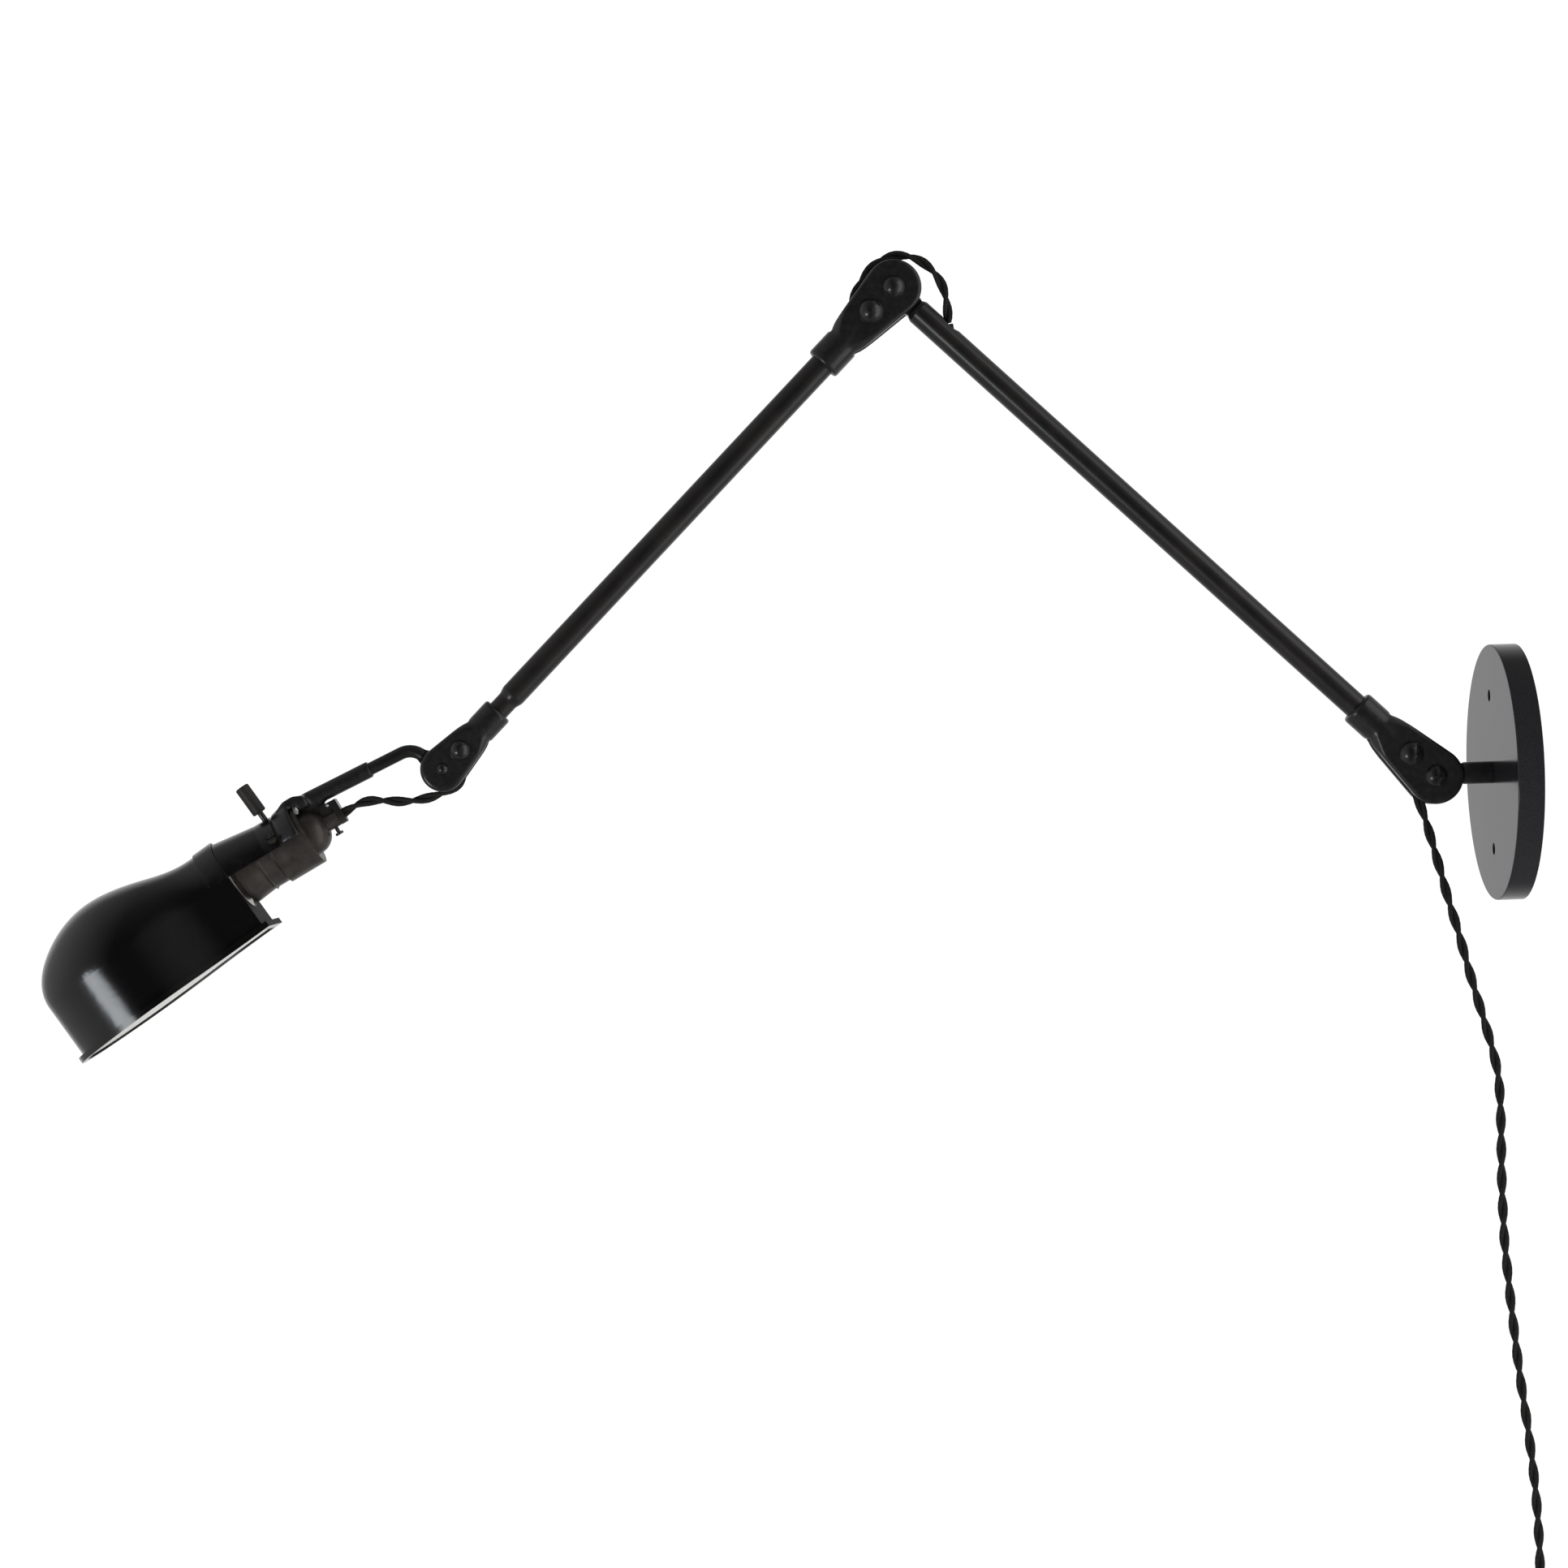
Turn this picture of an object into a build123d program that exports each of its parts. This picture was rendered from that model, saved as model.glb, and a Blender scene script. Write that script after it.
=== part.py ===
"""Articulating wall lamp: a round wall plate, two jointed tube arms and a hooded head.

Units are millimetres. The origin is the centre of the wall plate's back face, the wall is the
plane x = 0, the lamp reaches out towards -X and +Z is up. Headings are angles above the
horizontal of a line that points away from the wall.
"""
from build123d import *
import os
from math import cos, pi, radians, sin, sqrt, tan

os.makedirs("parts", exist_ok=True)

# Clearances
running_gap = 0.05
seat_gap = 0.3
edge_break = 0.8
small_break = 0.4

# Wall plate and its stem
plate_diameter = 127.0
plate_thickness = 12.7
plate_edge_round = 0.8
plate_hole_spacing = 76.2
plate_hole_diameter = 6.0
stem_diameter = 11.0
stem_shank_diameter = 8.0
stand_off = 41.7
shoulder_drop = 1.0
nut_across_flats = 13.0
nut_height = 5.0
nut_recess_diameter = 18.0
nut_recess_depth = 6.6
washer_diameter = 17.0
washer_thickness = 1.2

# Arms
arm_tube_diameter = 12.7
arm_tube_wall = 1.2
rear_arm_length = 361.26
rear_arm_heading = 43.84
front_arm_length = 326.65
front_arm_heading = -45.09
cord_exit_reach = 33.0
cord_exit_width = 7.6
cord_exit_length = 11.6

# Shoulder and elbow knuckles, which are the same casting
boss_diameter = 28.0
knuckle_depth = 17.0
knuckle_socket_diameter = 18.0
knuckle_socket_end = 51.7
knuckle_throat = 37.0
fork_slot = 6.4
knuckle_edge_round = 1.8
barrel_inset = 0.6
barrel_run_out = 4.0
taper_share = 0.38
taper_spread = 0.6
taper_run = 8.0
taper_sink = 3.0
pivot_diameter = 6.0
pivot_dome_diameter = 11.2
pivot_dome_height = 3.6
tension_reach = 16.5
tension_diameter = 4.0
tension_dome_diameter = 12.4
tension_dome_height = 4.2
eye_diameter = 18.0
tongue_thickness = 5.2
tongue_shoulder_reach = 15.2
tongue_shoulder_length = 2.6
tongue_shoulder_round = 1.6
spigot_length = 10.0
friction_washer_thickness = 0.5
washer_margin = 0.5

# Wrist knuckle, which turns on the necked end of the front arm
wrist_boss_diameter = 22.6
wrist_depth = 14.4
wrist_socket_diameter = 15.4
wrist_socket_end = 40.0
wrist_throat = 26.0
wrist_slot = 5.8
wrist_pivot_diameter = 4.0
wrist_pivot_dome_diameter = 6.0
wrist_pivot_dome_height = 2.2
wrist_tension_reach = 12.6
wrist_tension_diameter = 3.0
wrist_tension_dome_diameter = 10.2
wrist_tension_dome_height = 3.6
wrist_eye_diameter = 15.0
wrist_tongue_thickness = 4.6
neck_diameter = 10.6
neck_bore_diameter = 5.8
neck_shoulder_reach = 46.0
neck_shoulder_length = 5.0
neck_groove_reach = 33.0
neck_groove_width = 3.4
neck_groove_depth = 0.7
stop_screw_diameter = 3.0

# Head: bent rod, yoke, socket
rod_diameter = 6.35
rod_rise_angle = 34.7
rod_rise_length = 19.1
rod_bend_radius = 10.0
rod_blade_gap = 1.0
rod_blade_lap = 2.0
head_droop = 25.0
stem_tube_diameter = 8.5
stem_tube_start = 22.4
stem_tube_length = 36.4
rod_seat_depth = 14.0
socket_reach = 51.6
socket_drop = 21.0
socket_droop = 29.3
hanger_thickness = 3.4
hanger_width = 9.0
hanger_rise = 8.3
hanger_arm_end = 7.6
hanger_arm_low = -4.7
hanger_slope = -0.07
hanger_hole_reach = 3.2
hanger_hole_rise = 7.2
hanger_hole_diameter = 1.4
cap_neck_diameter = 8.6
cap_neck_length = 8.4
cap_shoulder = 16.6
cap_base_diameter = 22.6
cap_length = 19.2
cap_wall = 0.9
cap_swell_reach = 11.2
cap_swell_radius = 8.9
cap_flare = 0.2
neck_screw_reach = 5.4
neck_screw_diameter = 2.0
neck_screw_head_diameter = 4.2
neck_screw_length = 4.0
neck_screw_head_height = 1.2
shell_diameter = 32.2
shell_wide_end = 37.6
shell_narrow_diameter = 29.4
shell_bead_start = 45.6
shell_end = 58.0
shell_lip = 1.6
shell_draft = 0.1
shell_end_diameter = 31.8
shell_wall = 0.8
interior_diameter = 27.2
interior_back = 1.0
liner_thickness = 0.5
screw_shell_diameter = 26.8
screw_shell_wall = 0.3
contact_diameter = 8.0
contact_height = 2.0
contact_taper = 30
terminal_spread = 14.0
terminal_diameter = 4.4
terminal_height = 2.0
yoke_start = 10.4
arch_start = 20.4
arch_end = 30.6
arch_outer_diameter = 38.6
hub_height = 20.0
hub_width = 15.0
hub_slope_run = 5.4
hub_slope_drop = 2.4
hub_front_back = 4.5
hub_front_drop = 1.5
hub_round = 1.2
arch_slope_run = 4.0
hub_underside = 12.0
edge_above_axis = 1.2
lug_start = 27.0
lug_end = 36.8
lug_width = 6.4
lug_thickness = 1.3

# Half tube that carries the shade, and its two screws
half_tube_start = 31.2
half_tube_bend = 40.0
half_tube_end = 62.4
half_tube_start_diameter = 34.6
half_tube_end_diameter = 40.4
sheet_wall = 0.9
yoke_screw_reach = 33.4
yoke_screw_drop = 5.8
yoke_screw_diameter = 3.0
yoke_screw_head_diameter = 5.4
yoke_screw_head_height = 2.0
yoke_screw_slot = 0.9

# Turn key
key_offset = 28.8
key_stem_diameter = 3.0
key_tip = 6.0
key_seat_depth = 3.0
key_grip_base = 18.0
key_grip_length = 15.5
key_grip_diameter = 7.2
key_hole_diameter = 4.8

# Shade
shade_reach = 105.7
shade_drop = 49.8
shade_droop = 34.1
shade_neck_diameter = 38.8
shade_neck_length = 12.0
shade_swell_reach = 40.0
shade_swell_height = 25.7
shade_crown_reach = 68.0
shade_crown_height = 31.5
shade_shoulder_reach = 96.0
shade_shoulder_height = 23.5
shade_length = 112.4
shade_depth = 30.0
shade_wall = 1.0
rim_bead_reach = 2.8
rim_bead_height = 3.0
band_length = 10.4
band_wall = 0.8

# Lamp bulb, a short tubular one
bulb_base_start = 39.0
bulb_base_diameter = 25.6
bulb_base_end = 61.0
bulb_tip_radius = 4.0
bulb_tip_height = 1.0
bulb_diameter = 30.0
bulb_neck_diameter = 24.0
bulb_shoulder = 74.0
bulb_end = 127.0
glass_wall = 0.9

# Cord, coil and plug
cord_diameter = 5.0
corner_share = 0.45
cord_end_gap = 0.9
cord_exit_back = 1.5
cord_exit_sink = 0.6
cord_bend_back = 6.0
coil_pitch = 5.6
coil_outer_radius = 36.4
coil_layer_turns = 7
coil_first_x = -4.0
coil_left = -12.0
coil_height = -449.0
tie_width = 8.0
tie_thickness = 0.9
tie_inner_gap = 0.9
tie_corner = 1.5
plug_lead_length = 26.0
plug_diameter = 18.0
plug_length = 34.0
plug_throat_radius = 3.6
blade_length = 17.0
blade_seat = 3.0
blade_width = 6.3
blade_thickness = 1.5
blade_spacing = 12.7


def heading_vector(angle):
    """Unit vector that points away from the wall, angle degrees above the horizontal."""
    return Vector(-cos(radians(angle)), 0, sin(radians(angle)))


def side_plane(origin, heading):
    """Plane of the lamp's mid-plane: X along heading, Z towards the near side."""
    return Plane(origin=origin, x_dir=heading, z_dir=(0, -1, 0))


def across(at, distance):
    """Plane square to the X axis of a side plane, distance along it, its X towards the near side."""
    return Plane(origin=at.from_local_coords((distance, 0, 0)), x_dir=at.z_dir, z_dir=at.x_dir)


def above(at, distance):
    """Plane square to the Y axis of a side plane, distance along X, looking to its -Y side."""
    return Plane(origin=at.from_local_coords((distance, 0, 0)), x_dir=at.x_dir, z_dir=-at.y_dir)


def axis_of(at):
    """X axis of a side plane, about which a piece on it is turned."""
    return Axis(at.origin, at.x_dir)


def outline_face(at, outline):
    """Flat face on a plane from a list of corner points."""
    with BuildSketch(at) as face:
        with BuildLine():
            Polyline(*outline, close=True)
        make_face()
    return face.sketch


def eye_face(at, eye, reach, half_width, rise=0):
    """Outline of a tongue's blade, from its round eye to the shoulder that carries it."""
    with BuildSketch(at) as face:
        Circle(eye / 2)
        with Locations((reach - 1, rise)):
            Rectangle(2, 2 * half_width)
        make_hull(face.edges())
    return face.sketch


shoulder = Vector(-stand_off, 0, -shoulder_drop)
rear_heading = heading_vector(rear_arm_heading)
elbow = shoulder + rear_heading * rear_arm_length
front_heading = heading_vector(front_arm_heading)
wrist = elbow + front_heading * front_arm_length

shoulder_at = side_plane(shoulder, rear_heading)
elbow_at = side_plane(elbow, front_heading)
wrist_at = side_plane(wrist, -front_heading)
eye_at = side_plane(shoulder, Vector(1, 0, 0))
stem_at = side_plane(Vector(-stand_off, 0, 0), Vector(1, 0, 0))
rear_end_at = side_plane(elbow, -rear_heading)
socket_origin = wrist + Vector(-socket_reach, 0, -socket_drop)
socket_at = side_plane(socket_origin, heading_vector(-socket_droop))
shade_origin = wrist + Vector(-shade_reach, 0, -shade_drop)
shade_at = side_plane(shade_origin, heading_vector(-shade_droop))


def knuckle(at, boss, depth, socket, socket_end, throat, slot, bore, pin, reach, screw):
    """Forked casting: two ears round a pivot, drawn in to a round socket for a tube."""
    round_start = throat / 2
    with BuildPart() as casting:
        with BuildSketch(at) as side:
            Circle(boss / 2)
            with Locations((throat, 0)):
                Circle(socket / 2)
            make_hull(side.edges())
        extrude(amount=depth / 2, both=True)
        fillet(casting.faces().filter_by(Axis.Y).edges(), knuckle_edge_round)
        taper = [(-boss, 0), (-boss, boss), (taper_share * throat, taper_spread * boss),
                 (throat + taper_run, socket / 2 - taper_sink), (throat + taper_run, 0)]
        revolve(outline_face(at, taper), axis=axis_of(at), mode=Mode.INTERSECT)
        barrel = [(round_start, 0), (round_start, depth / 2 - barrel_inset),
                  (throat - barrel_run_out, socket / 2),
                  (socket_end - edge_break, socket / 2), (socket_end, socket / 2 - edge_break),
                  (socket_end, 0)]
        revolve(outline_face(at, barrel), axis=axis_of(at))
        with BuildSketch(across(at, throat)):
            Circle(bore / 2)
        extrude(amount=socket_end - throat + 1, mode=Mode.SUBTRACT)
        with BuildSketch(at):
            with Locations(((throat - boss) / 2, 0)):
                Rectangle(throat + boss, 2 * boss)
        extrude(amount=slot / 2, both=True, mode=Mode.SUBTRACT)
        with BuildSketch(at):
            Circle(pin / 2 + running_gap)
            with Locations((reach, 0)):
                Circle(screw / 2 + running_gap)
        extrude(amount=depth, both=True, mode=Mode.SUBTRACT)
    return casting.part


def dome_face(at, dome, height, side):
    """Half section of a low dome that stands on a plane across a bolt's axis."""
    radius = (dome * dome / 4 + height * height) / (2 * height)
    with BuildSketch(at) as face:
        with BuildLine():
            Line((0, 0), (0, side * height))
            RadiusArc((0, side * height), (dome / 2, 0), side * radius)
            Line((dome / 2, 0), (0, 0))
        make_face()
    return face.sketch


def domed_bolt(at, reach, depth, pin, dome, height):
    """Round-headed bolt through both ears, its head on the near side."""
    centre = at.from_local_coords((reach, 0, 0))
    with BuildPart() as bolt:
        with BuildSketch(Plane(origin=centre, x_dir=at.x_dir, z_dir=at.z_dir).offset(-depth / 2)):
            Circle(pin / 2)
        extrude(amount=depth)
        section_at = Plane(origin=centre + at.z_dir * (depth / 2), x_dir=at.x_dir, z_dir=-at.y_dir)
        revolve(dome_face(section_at, dome, height, 1), axis=Axis(centre, at.z_dir))
    return bolt.part


def domed_nut(at, reach, depth, dome, height):
    """Cap nut on the far ear, over the end of a bolt."""
    centre = at.from_local_coords((reach, 0, 0))
    with BuildPart() as nut:
        section_at = Plane(origin=centre - at.z_dir * (depth / 2), x_dir=at.x_dir, z_dir=-at.y_dir)
        revolve(dome_face(section_at, dome, height, -1), axis=Axis(centre, at.z_dir))
    return nut.part


def friction_washers(at, eye, slot, tongue, pin):
    """Two thin washers, one each side of a tongue, that hold the joint by friction."""
    middle = (slot + tongue) / 4
    with BuildPart() as washers:
        for side in (-middle, middle):
            with BuildSketch(at.offset(side)):
                Circle(eye / 2 - washer_margin)
                Circle(pin / 2 + running_gap, mode=Mode.SUBTRACT)
            extrude(amount=friction_washer_thickness / 2, both=True)
    return washers.part


# Wall plate
with BuildPart() as wall_plate:
    with BuildSketch(Plane.YZ):
        Circle(plate_diameter / 2)
    extrude(amount=-plate_thickness)
    fillet(wall_plate.faces().sort_by(Axis.X)[0].edges(), plate_edge_round)
    with BuildSketch(Plane.YZ):
        with Locations((0, plate_hole_spacing / 2), (0, -plate_hole_spacing / 2)):
            Circle(plate_hole_diameter / 2)
        Circle(stem_shank_diameter / 2 + running_gap)
    extrude(amount=-plate_thickness, mode=Mode.SUBTRACT)
    with BuildSketch(Plane.YZ):
        Circle(nut_recess_diameter / 2)
    extrude(amount=-nut_recess_depth, mode=Mode.SUBTRACT)
wall_plate.part.label = "wall_plate"
export_step(wall_plate.part, "parts/wall_plate.step")

with BuildPart() as stem_washer:
    with BuildSketch(Plane.YZ.offset(-nut_recess_depth)):
        Circle(washer_diameter / 2)
        Circle(stem_shank_diameter / 2 + running_gap, mode=Mode.SUBTRACT)
    extrude(amount=washer_thickness)
stem_washer.part.label = "stem_washer"
export_step(stem_washer.part, "parts/stem_washer.step")

with BuildPart() as stem_nut:
    with BuildSketch(Plane.YZ.offset(washer_thickness - nut_recess_depth)):
        RegularPolygon(nut_across_flats / 2, 6, major_radius=False)
        Circle(stem_shank_diameter / 2 + running_gap, mode=Mode.SUBTRACT)
    extrude(amount=nut_height)
stem_nut.part.label = "stem_nut"
export_step(stem_nut.part, "parts/stem_nut.step")

# Stem: shank through the plate, round bar, then a blade between the shoulder's ears
bar_end = stand_off - plate_thickness
shank_end = stand_off - small_break
bar_start = tongue_shoulder_reach - 1
with BuildPart() as wall_stem:
    extrude(eye_face(eye_at, eye_diameter, tongue_shoulder_reach, stem_diameter / 2 - edge_break,
                     shoulder_drop),
            amount=tongue_thickness / 2, both=True)
    bar = [(bar_start, 0), (bar_start, stem_diameter / 2 - edge_break),
           (bar_start + edge_break, stem_diameter / 2),
           (bar_end, stem_diameter / 2), (bar_end, stem_shank_diameter / 2),
           (shank_end, stem_shank_diameter / 2), (shank_end, 0)]
    revolve(outline_face(stem_at, bar), axis=axis_of(stem_at))
    with BuildSketch(eye_at):
        Circle(pivot_diameter / 2 + running_gap)
    extrude(amount=tongue_thickness, both=True, mode=Mode.SUBTRACT)
wall_stem.part.label = "wall_stem"
export_step(wall_stem.part, "parts/wall_stem.step")

# Shoulder and elbow: casting, pivot bolt, tension screw, their nuts and the friction washers
for joint, at in (("shoulder", shoulder_at), ("elbow", elbow_at)):
    casting = knuckle(at, boss_diameter, knuckle_depth, knuckle_socket_diameter, knuckle_socket_end,
                      knuckle_throat, fork_slot, arm_tube_diameter + 2 * running_gap,
                      pivot_diameter, tension_reach, tension_diameter)
    casting.label = f"{joint}_knuckle"
    export_step(casting, f"parts/{joint}_knuckle.step")
    bolt = domed_bolt(at, 0, knuckle_depth, pivot_diameter, pivot_dome_diameter, pivot_dome_height)
    bolt.label = f"{joint}_pivot_bolt"
    export_step(bolt, f"parts/{joint}_pivot_bolt.step")
    nut = domed_nut(at, 0, knuckle_depth, pivot_dome_diameter, pivot_dome_height)
    nut.label = f"{joint}_pivot_nut"
    export_step(nut, f"parts/{joint}_pivot_nut.step")
    screw = domed_bolt(at, tension_reach, knuckle_depth, tension_diameter, tension_dome_diameter,
                       tension_dome_height)
    screw.label = f"{joint}_tension_screw"
    export_step(screw, f"parts/{joint}_tension_screw.step")
    screw_nut = domed_nut(at, tension_reach, knuckle_depth, tension_dome_diameter, tension_dome_height)
    screw_nut.label = f"{joint}_tension_nut"
    export_step(screw_nut, f"parts/{joint}_tension_nut.step")
    washers = friction_washers(at, eye_diameter, fork_slot, tongue_thickness, pivot_diameter)
    washers.label = f"{joint}_washers"
    export_step(washers, f"parts/{joint}_washers.step")

# Rear arm tube with a slotted hole in its upper side where the cord comes out
tube_radius = arm_tube_diameter / 2
tube_bore_radius = tube_radius - arm_tube_wall
plug_reach = tongue_shoulder_reach + tongue_shoulder_length
rear_tube_end = rear_arm_length - plug_reach
with BuildPart() as rear_tube:
    with BuildSketch(across(shoulder_at, knuckle_throat)):
        Circle(tube_radius)
        Circle(tube_bore_radius, mode=Mode.SUBTRACT)
    extrude(amount=rear_tube_end - knuckle_throat)
    with BuildSketch(above(rear_end_at, cord_exit_reach)):
        SlotOverall(cord_exit_length, cord_exit_width)
    extrude(amount=-arm_tube_diameter, mode=Mode.SUBTRACT)
rear_tube.part.label = "rear_tube"
export_step(rear_tube.part, "parts/rear_tube.step")

# Plug in the rear tube's end, whose blade is the elbow's tongue
spigot_radius = tube_bore_radius - running_gap
shoulder_start = tongue_shoulder_reach - edge_break
spigot_end = plug_reach + spigot_length
with BuildPart() as elbow_tongue:
    extrude(eye_face(rear_end_at, eye_diameter, tongue_shoulder_reach,
                     tube_radius - tongue_shoulder_round),
            amount=tongue_thickness / 2, both=True)
    plug = [(shoulder_start, 0), (shoulder_start, tube_radius - tongue_shoulder_round),
            (tongue_shoulder_reach, tube_radius - edge_break), (plug_reach - edge_break, tube_radius),
            (plug_reach, tube_radius), (plug_reach, spigot_radius), (spigot_end, spigot_radius),
            (spigot_end, 0)]
    revolve(outline_face(rear_end_at, plug), axis=axis_of(rear_end_at))
    with BuildSketch(rear_end_at):
        Circle(pivot_diameter / 2 + running_gap)
    extrude(amount=tongue_thickness, both=True, mode=Mode.SUBTRACT)
elbow_tongue.part.label = "elbow_tongue"
export_step(elbow_tongue.part, "parts/elbow_tongue.step")

# Front arm tube and the necked plug on which the wrist swivels
neck_shoulder_end = neck_shoulder_reach + neck_shoulder_length
with BuildPart() as front_tube:
    with BuildSketch(across(elbow_at, knuckle_throat)):
        Circle(tube_radius)
        Circle(tube_bore_radius, mode=Mode.SUBTRACT)
    extrude(amount=front_arm_length - neck_shoulder_end - knuckle_throat)
front_tube.part.label = "front_tube"
export_step(front_tube.part, "parts/front_tube.step")

neck_radius = neck_diameter / 2
groove_radius = neck_radius - neck_groove_depth
groove_start = neck_groove_reach - neck_groove_width / 2
groove_end = neck_groove_reach + neck_groove_width / 2
neck_plug_end = neck_shoulder_end + spigot_length
with BuildPart() as arm_end_neck:
    with BuildSketch(wrist_at):
        with BuildLine():
            Polyline((neck_shoulder_reach, neck_radius), (groove_end, neck_radius),
                     (groove_end, groove_radius),
                     (groove_start, groove_radius), (groove_start, neck_radius),
                     (wrist_throat, neck_radius),
                     (wrist_throat, 0), (neck_plug_end, 0), (neck_plug_end, spigot_radius),
                     (neck_shoulder_end, spigot_radius), (neck_shoulder_end, tube_radius))
            Spline((neck_shoulder_end, tube_radius), (neck_shoulder_reach, neck_radius),
                   tangents=[(-1, 0), (-1, 0)])
        make_face()
    revolve(axis=axis_of(wrist_at))
    with BuildSketch(across(wrist_at, wrist_throat)):
        Circle(neck_bore_diameter / 2)
    extrude(amount=neck_plug_end - wrist_throat, mode=Mode.SUBTRACT)
arm_end_neck.part.label = "arm_end_neck"
export_step(arm_end_neck.part, "parts/arm_end_neck.step")

# Wrist: smaller forked casting with a screw that keeps it on the neck
wrist_casting = knuckle(wrist_at, wrist_boss_diameter, wrist_depth, wrist_socket_diameter,
                        wrist_socket_end,
                        wrist_throat, wrist_slot, neck_diameter + 2 * running_gap, wrist_pivot_diameter,
                        wrist_tension_reach, wrist_tension_diameter)
stop_screw_at = Plane(origin=wrist_at.from_local_coords((neck_groove_reach, 0, 0)),
                      x_dir=wrist_at.x_dir, z_dir=-wrist_at.z_dir)
with BuildPart() as wrist_knuckle:
    add(wrist_casting)
    with BuildSketch(stop_screw_at):
        Circle(stop_screw_diameter / 2 + running_gap)
    extrude(amount=wrist_socket_diameter, mode=Mode.SUBTRACT)
wrist_knuckle.part.label = "wrist_knuckle"
export_step(wrist_knuckle.part, "parts/wrist_knuckle.step")

with BuildPart() as swivel_stop_screw:
    with BuildSketch(stop_screw_at.offset(groove_radius + small_break)):
        Circle(stop_screw_diameter / 2)
    extrude(amount=wrist_socket_diameter / 2 - groove_radius)
swivel_stop_screw.part.label = "swivel_stop_screw"
export_step(swivel_stop_screw.part, "parts/swivel_stop_screw.step")

wrist_bolt = domed_bolt(wrist_at, 0, wrist_depth, wrist_pivot_diameter, wrist_pivot_dome_diameter,
                        wrist_pivot_dome_height)
wrist_bolt.label = "wrist_pivot_bolt"
export_step(wrist_bolt, "parts/wrist_pivot_bolt.step")
wrist_nut = domed_nut(wrist_at, 0, wrist_depth, wrist_pivot_dome_diameter, wrist_pivot_dome_height)
wrist_nut.label = "wrist_pivot_nut"
export_step(wrist_nut, "parts/wrist_pivot_nut.step")
wrist_screw = domed_bolt(wrist_at, wrist_tension_reach, wrist_depth, wrist_tension_diameter,
                         wrist_tension_dome_diameter, wrist_tension_dome_height)
wrist_screw.label = "wrist_tension_screw"
export_step(wrist_screw, "parts/wrist_tension_screw.step")
wrist_screw_nut = domed_nut(wrist_at, wrist_tension_reach, wrist_depth, wrist_tension_dome_diameter,
                            wrist_tension_dome_height)
wrist_screw_nut.label = "wrist_tension_nut"
export_step(wrist_screw_nut, "parts/wrist_tension_nut.step")
wrist_washers = friction_washers(wrist_at, wrist_eye_diameter, wrist_slot, wrist_tongue_thickness,
                                 wrist_pivot_diameter)
wrist_washers.label = "wrist_washers"
export_step(wrist_washers, "parts/wrist_washers.step")

# Bent rod between the wrist and the head, flattened to a tongue at the wrist
rise = heading_vector(rod_rise_angle)
droop = heading_vector(-head_droop)
rod_corner = wrist + rise * rod_rise_length
rod_end = rod_corner + droop * (stem_tube_start + rod_seat_depth)
rod_at = side_plane(wrist, rise)
rod_blade_end = wrist_boss_diameter / 2 + rod_blade_gap
with BuildPart() as head_rod:
    with BuildLine() as rod_path:
        FilletPolyline(wrist + rise * (rod_blade_end - rod_blade_lap), rod_corner, rod_end,
                       radius=rod_bend_radius)
    with BuildSketch(Plane(origin=rod_path.line @ 0, z_dir=rod_path.line % 0)):
        Circle(rod_diameter / 2)
    sweep()
    with BuildSketch(rod_at):
        Circle(rod_blade_end)
    extrude(amount=wrist_depth, both=True, mode=Mode.SUBTRACT)
    extrude(eye_face(rod_at, wrist_eye_diameter, rod_blade_end + rod_blade_gap,
                     rod_diameter / 2 - small_break / 2),
            amount=wrist_tongue_thickness / 2, both=True)
    with BuildSketch(rod_at):
        Circle(wrist_pivot_diameter / 2 + running_gap)
    extrude(amount=wrist_tongue_thickness, both=True, mode=Mode.SUBTRACT)
head_rod.part.label = "head_rod"
export_step(head_rod.part, "parts/head_rod.step")

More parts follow.
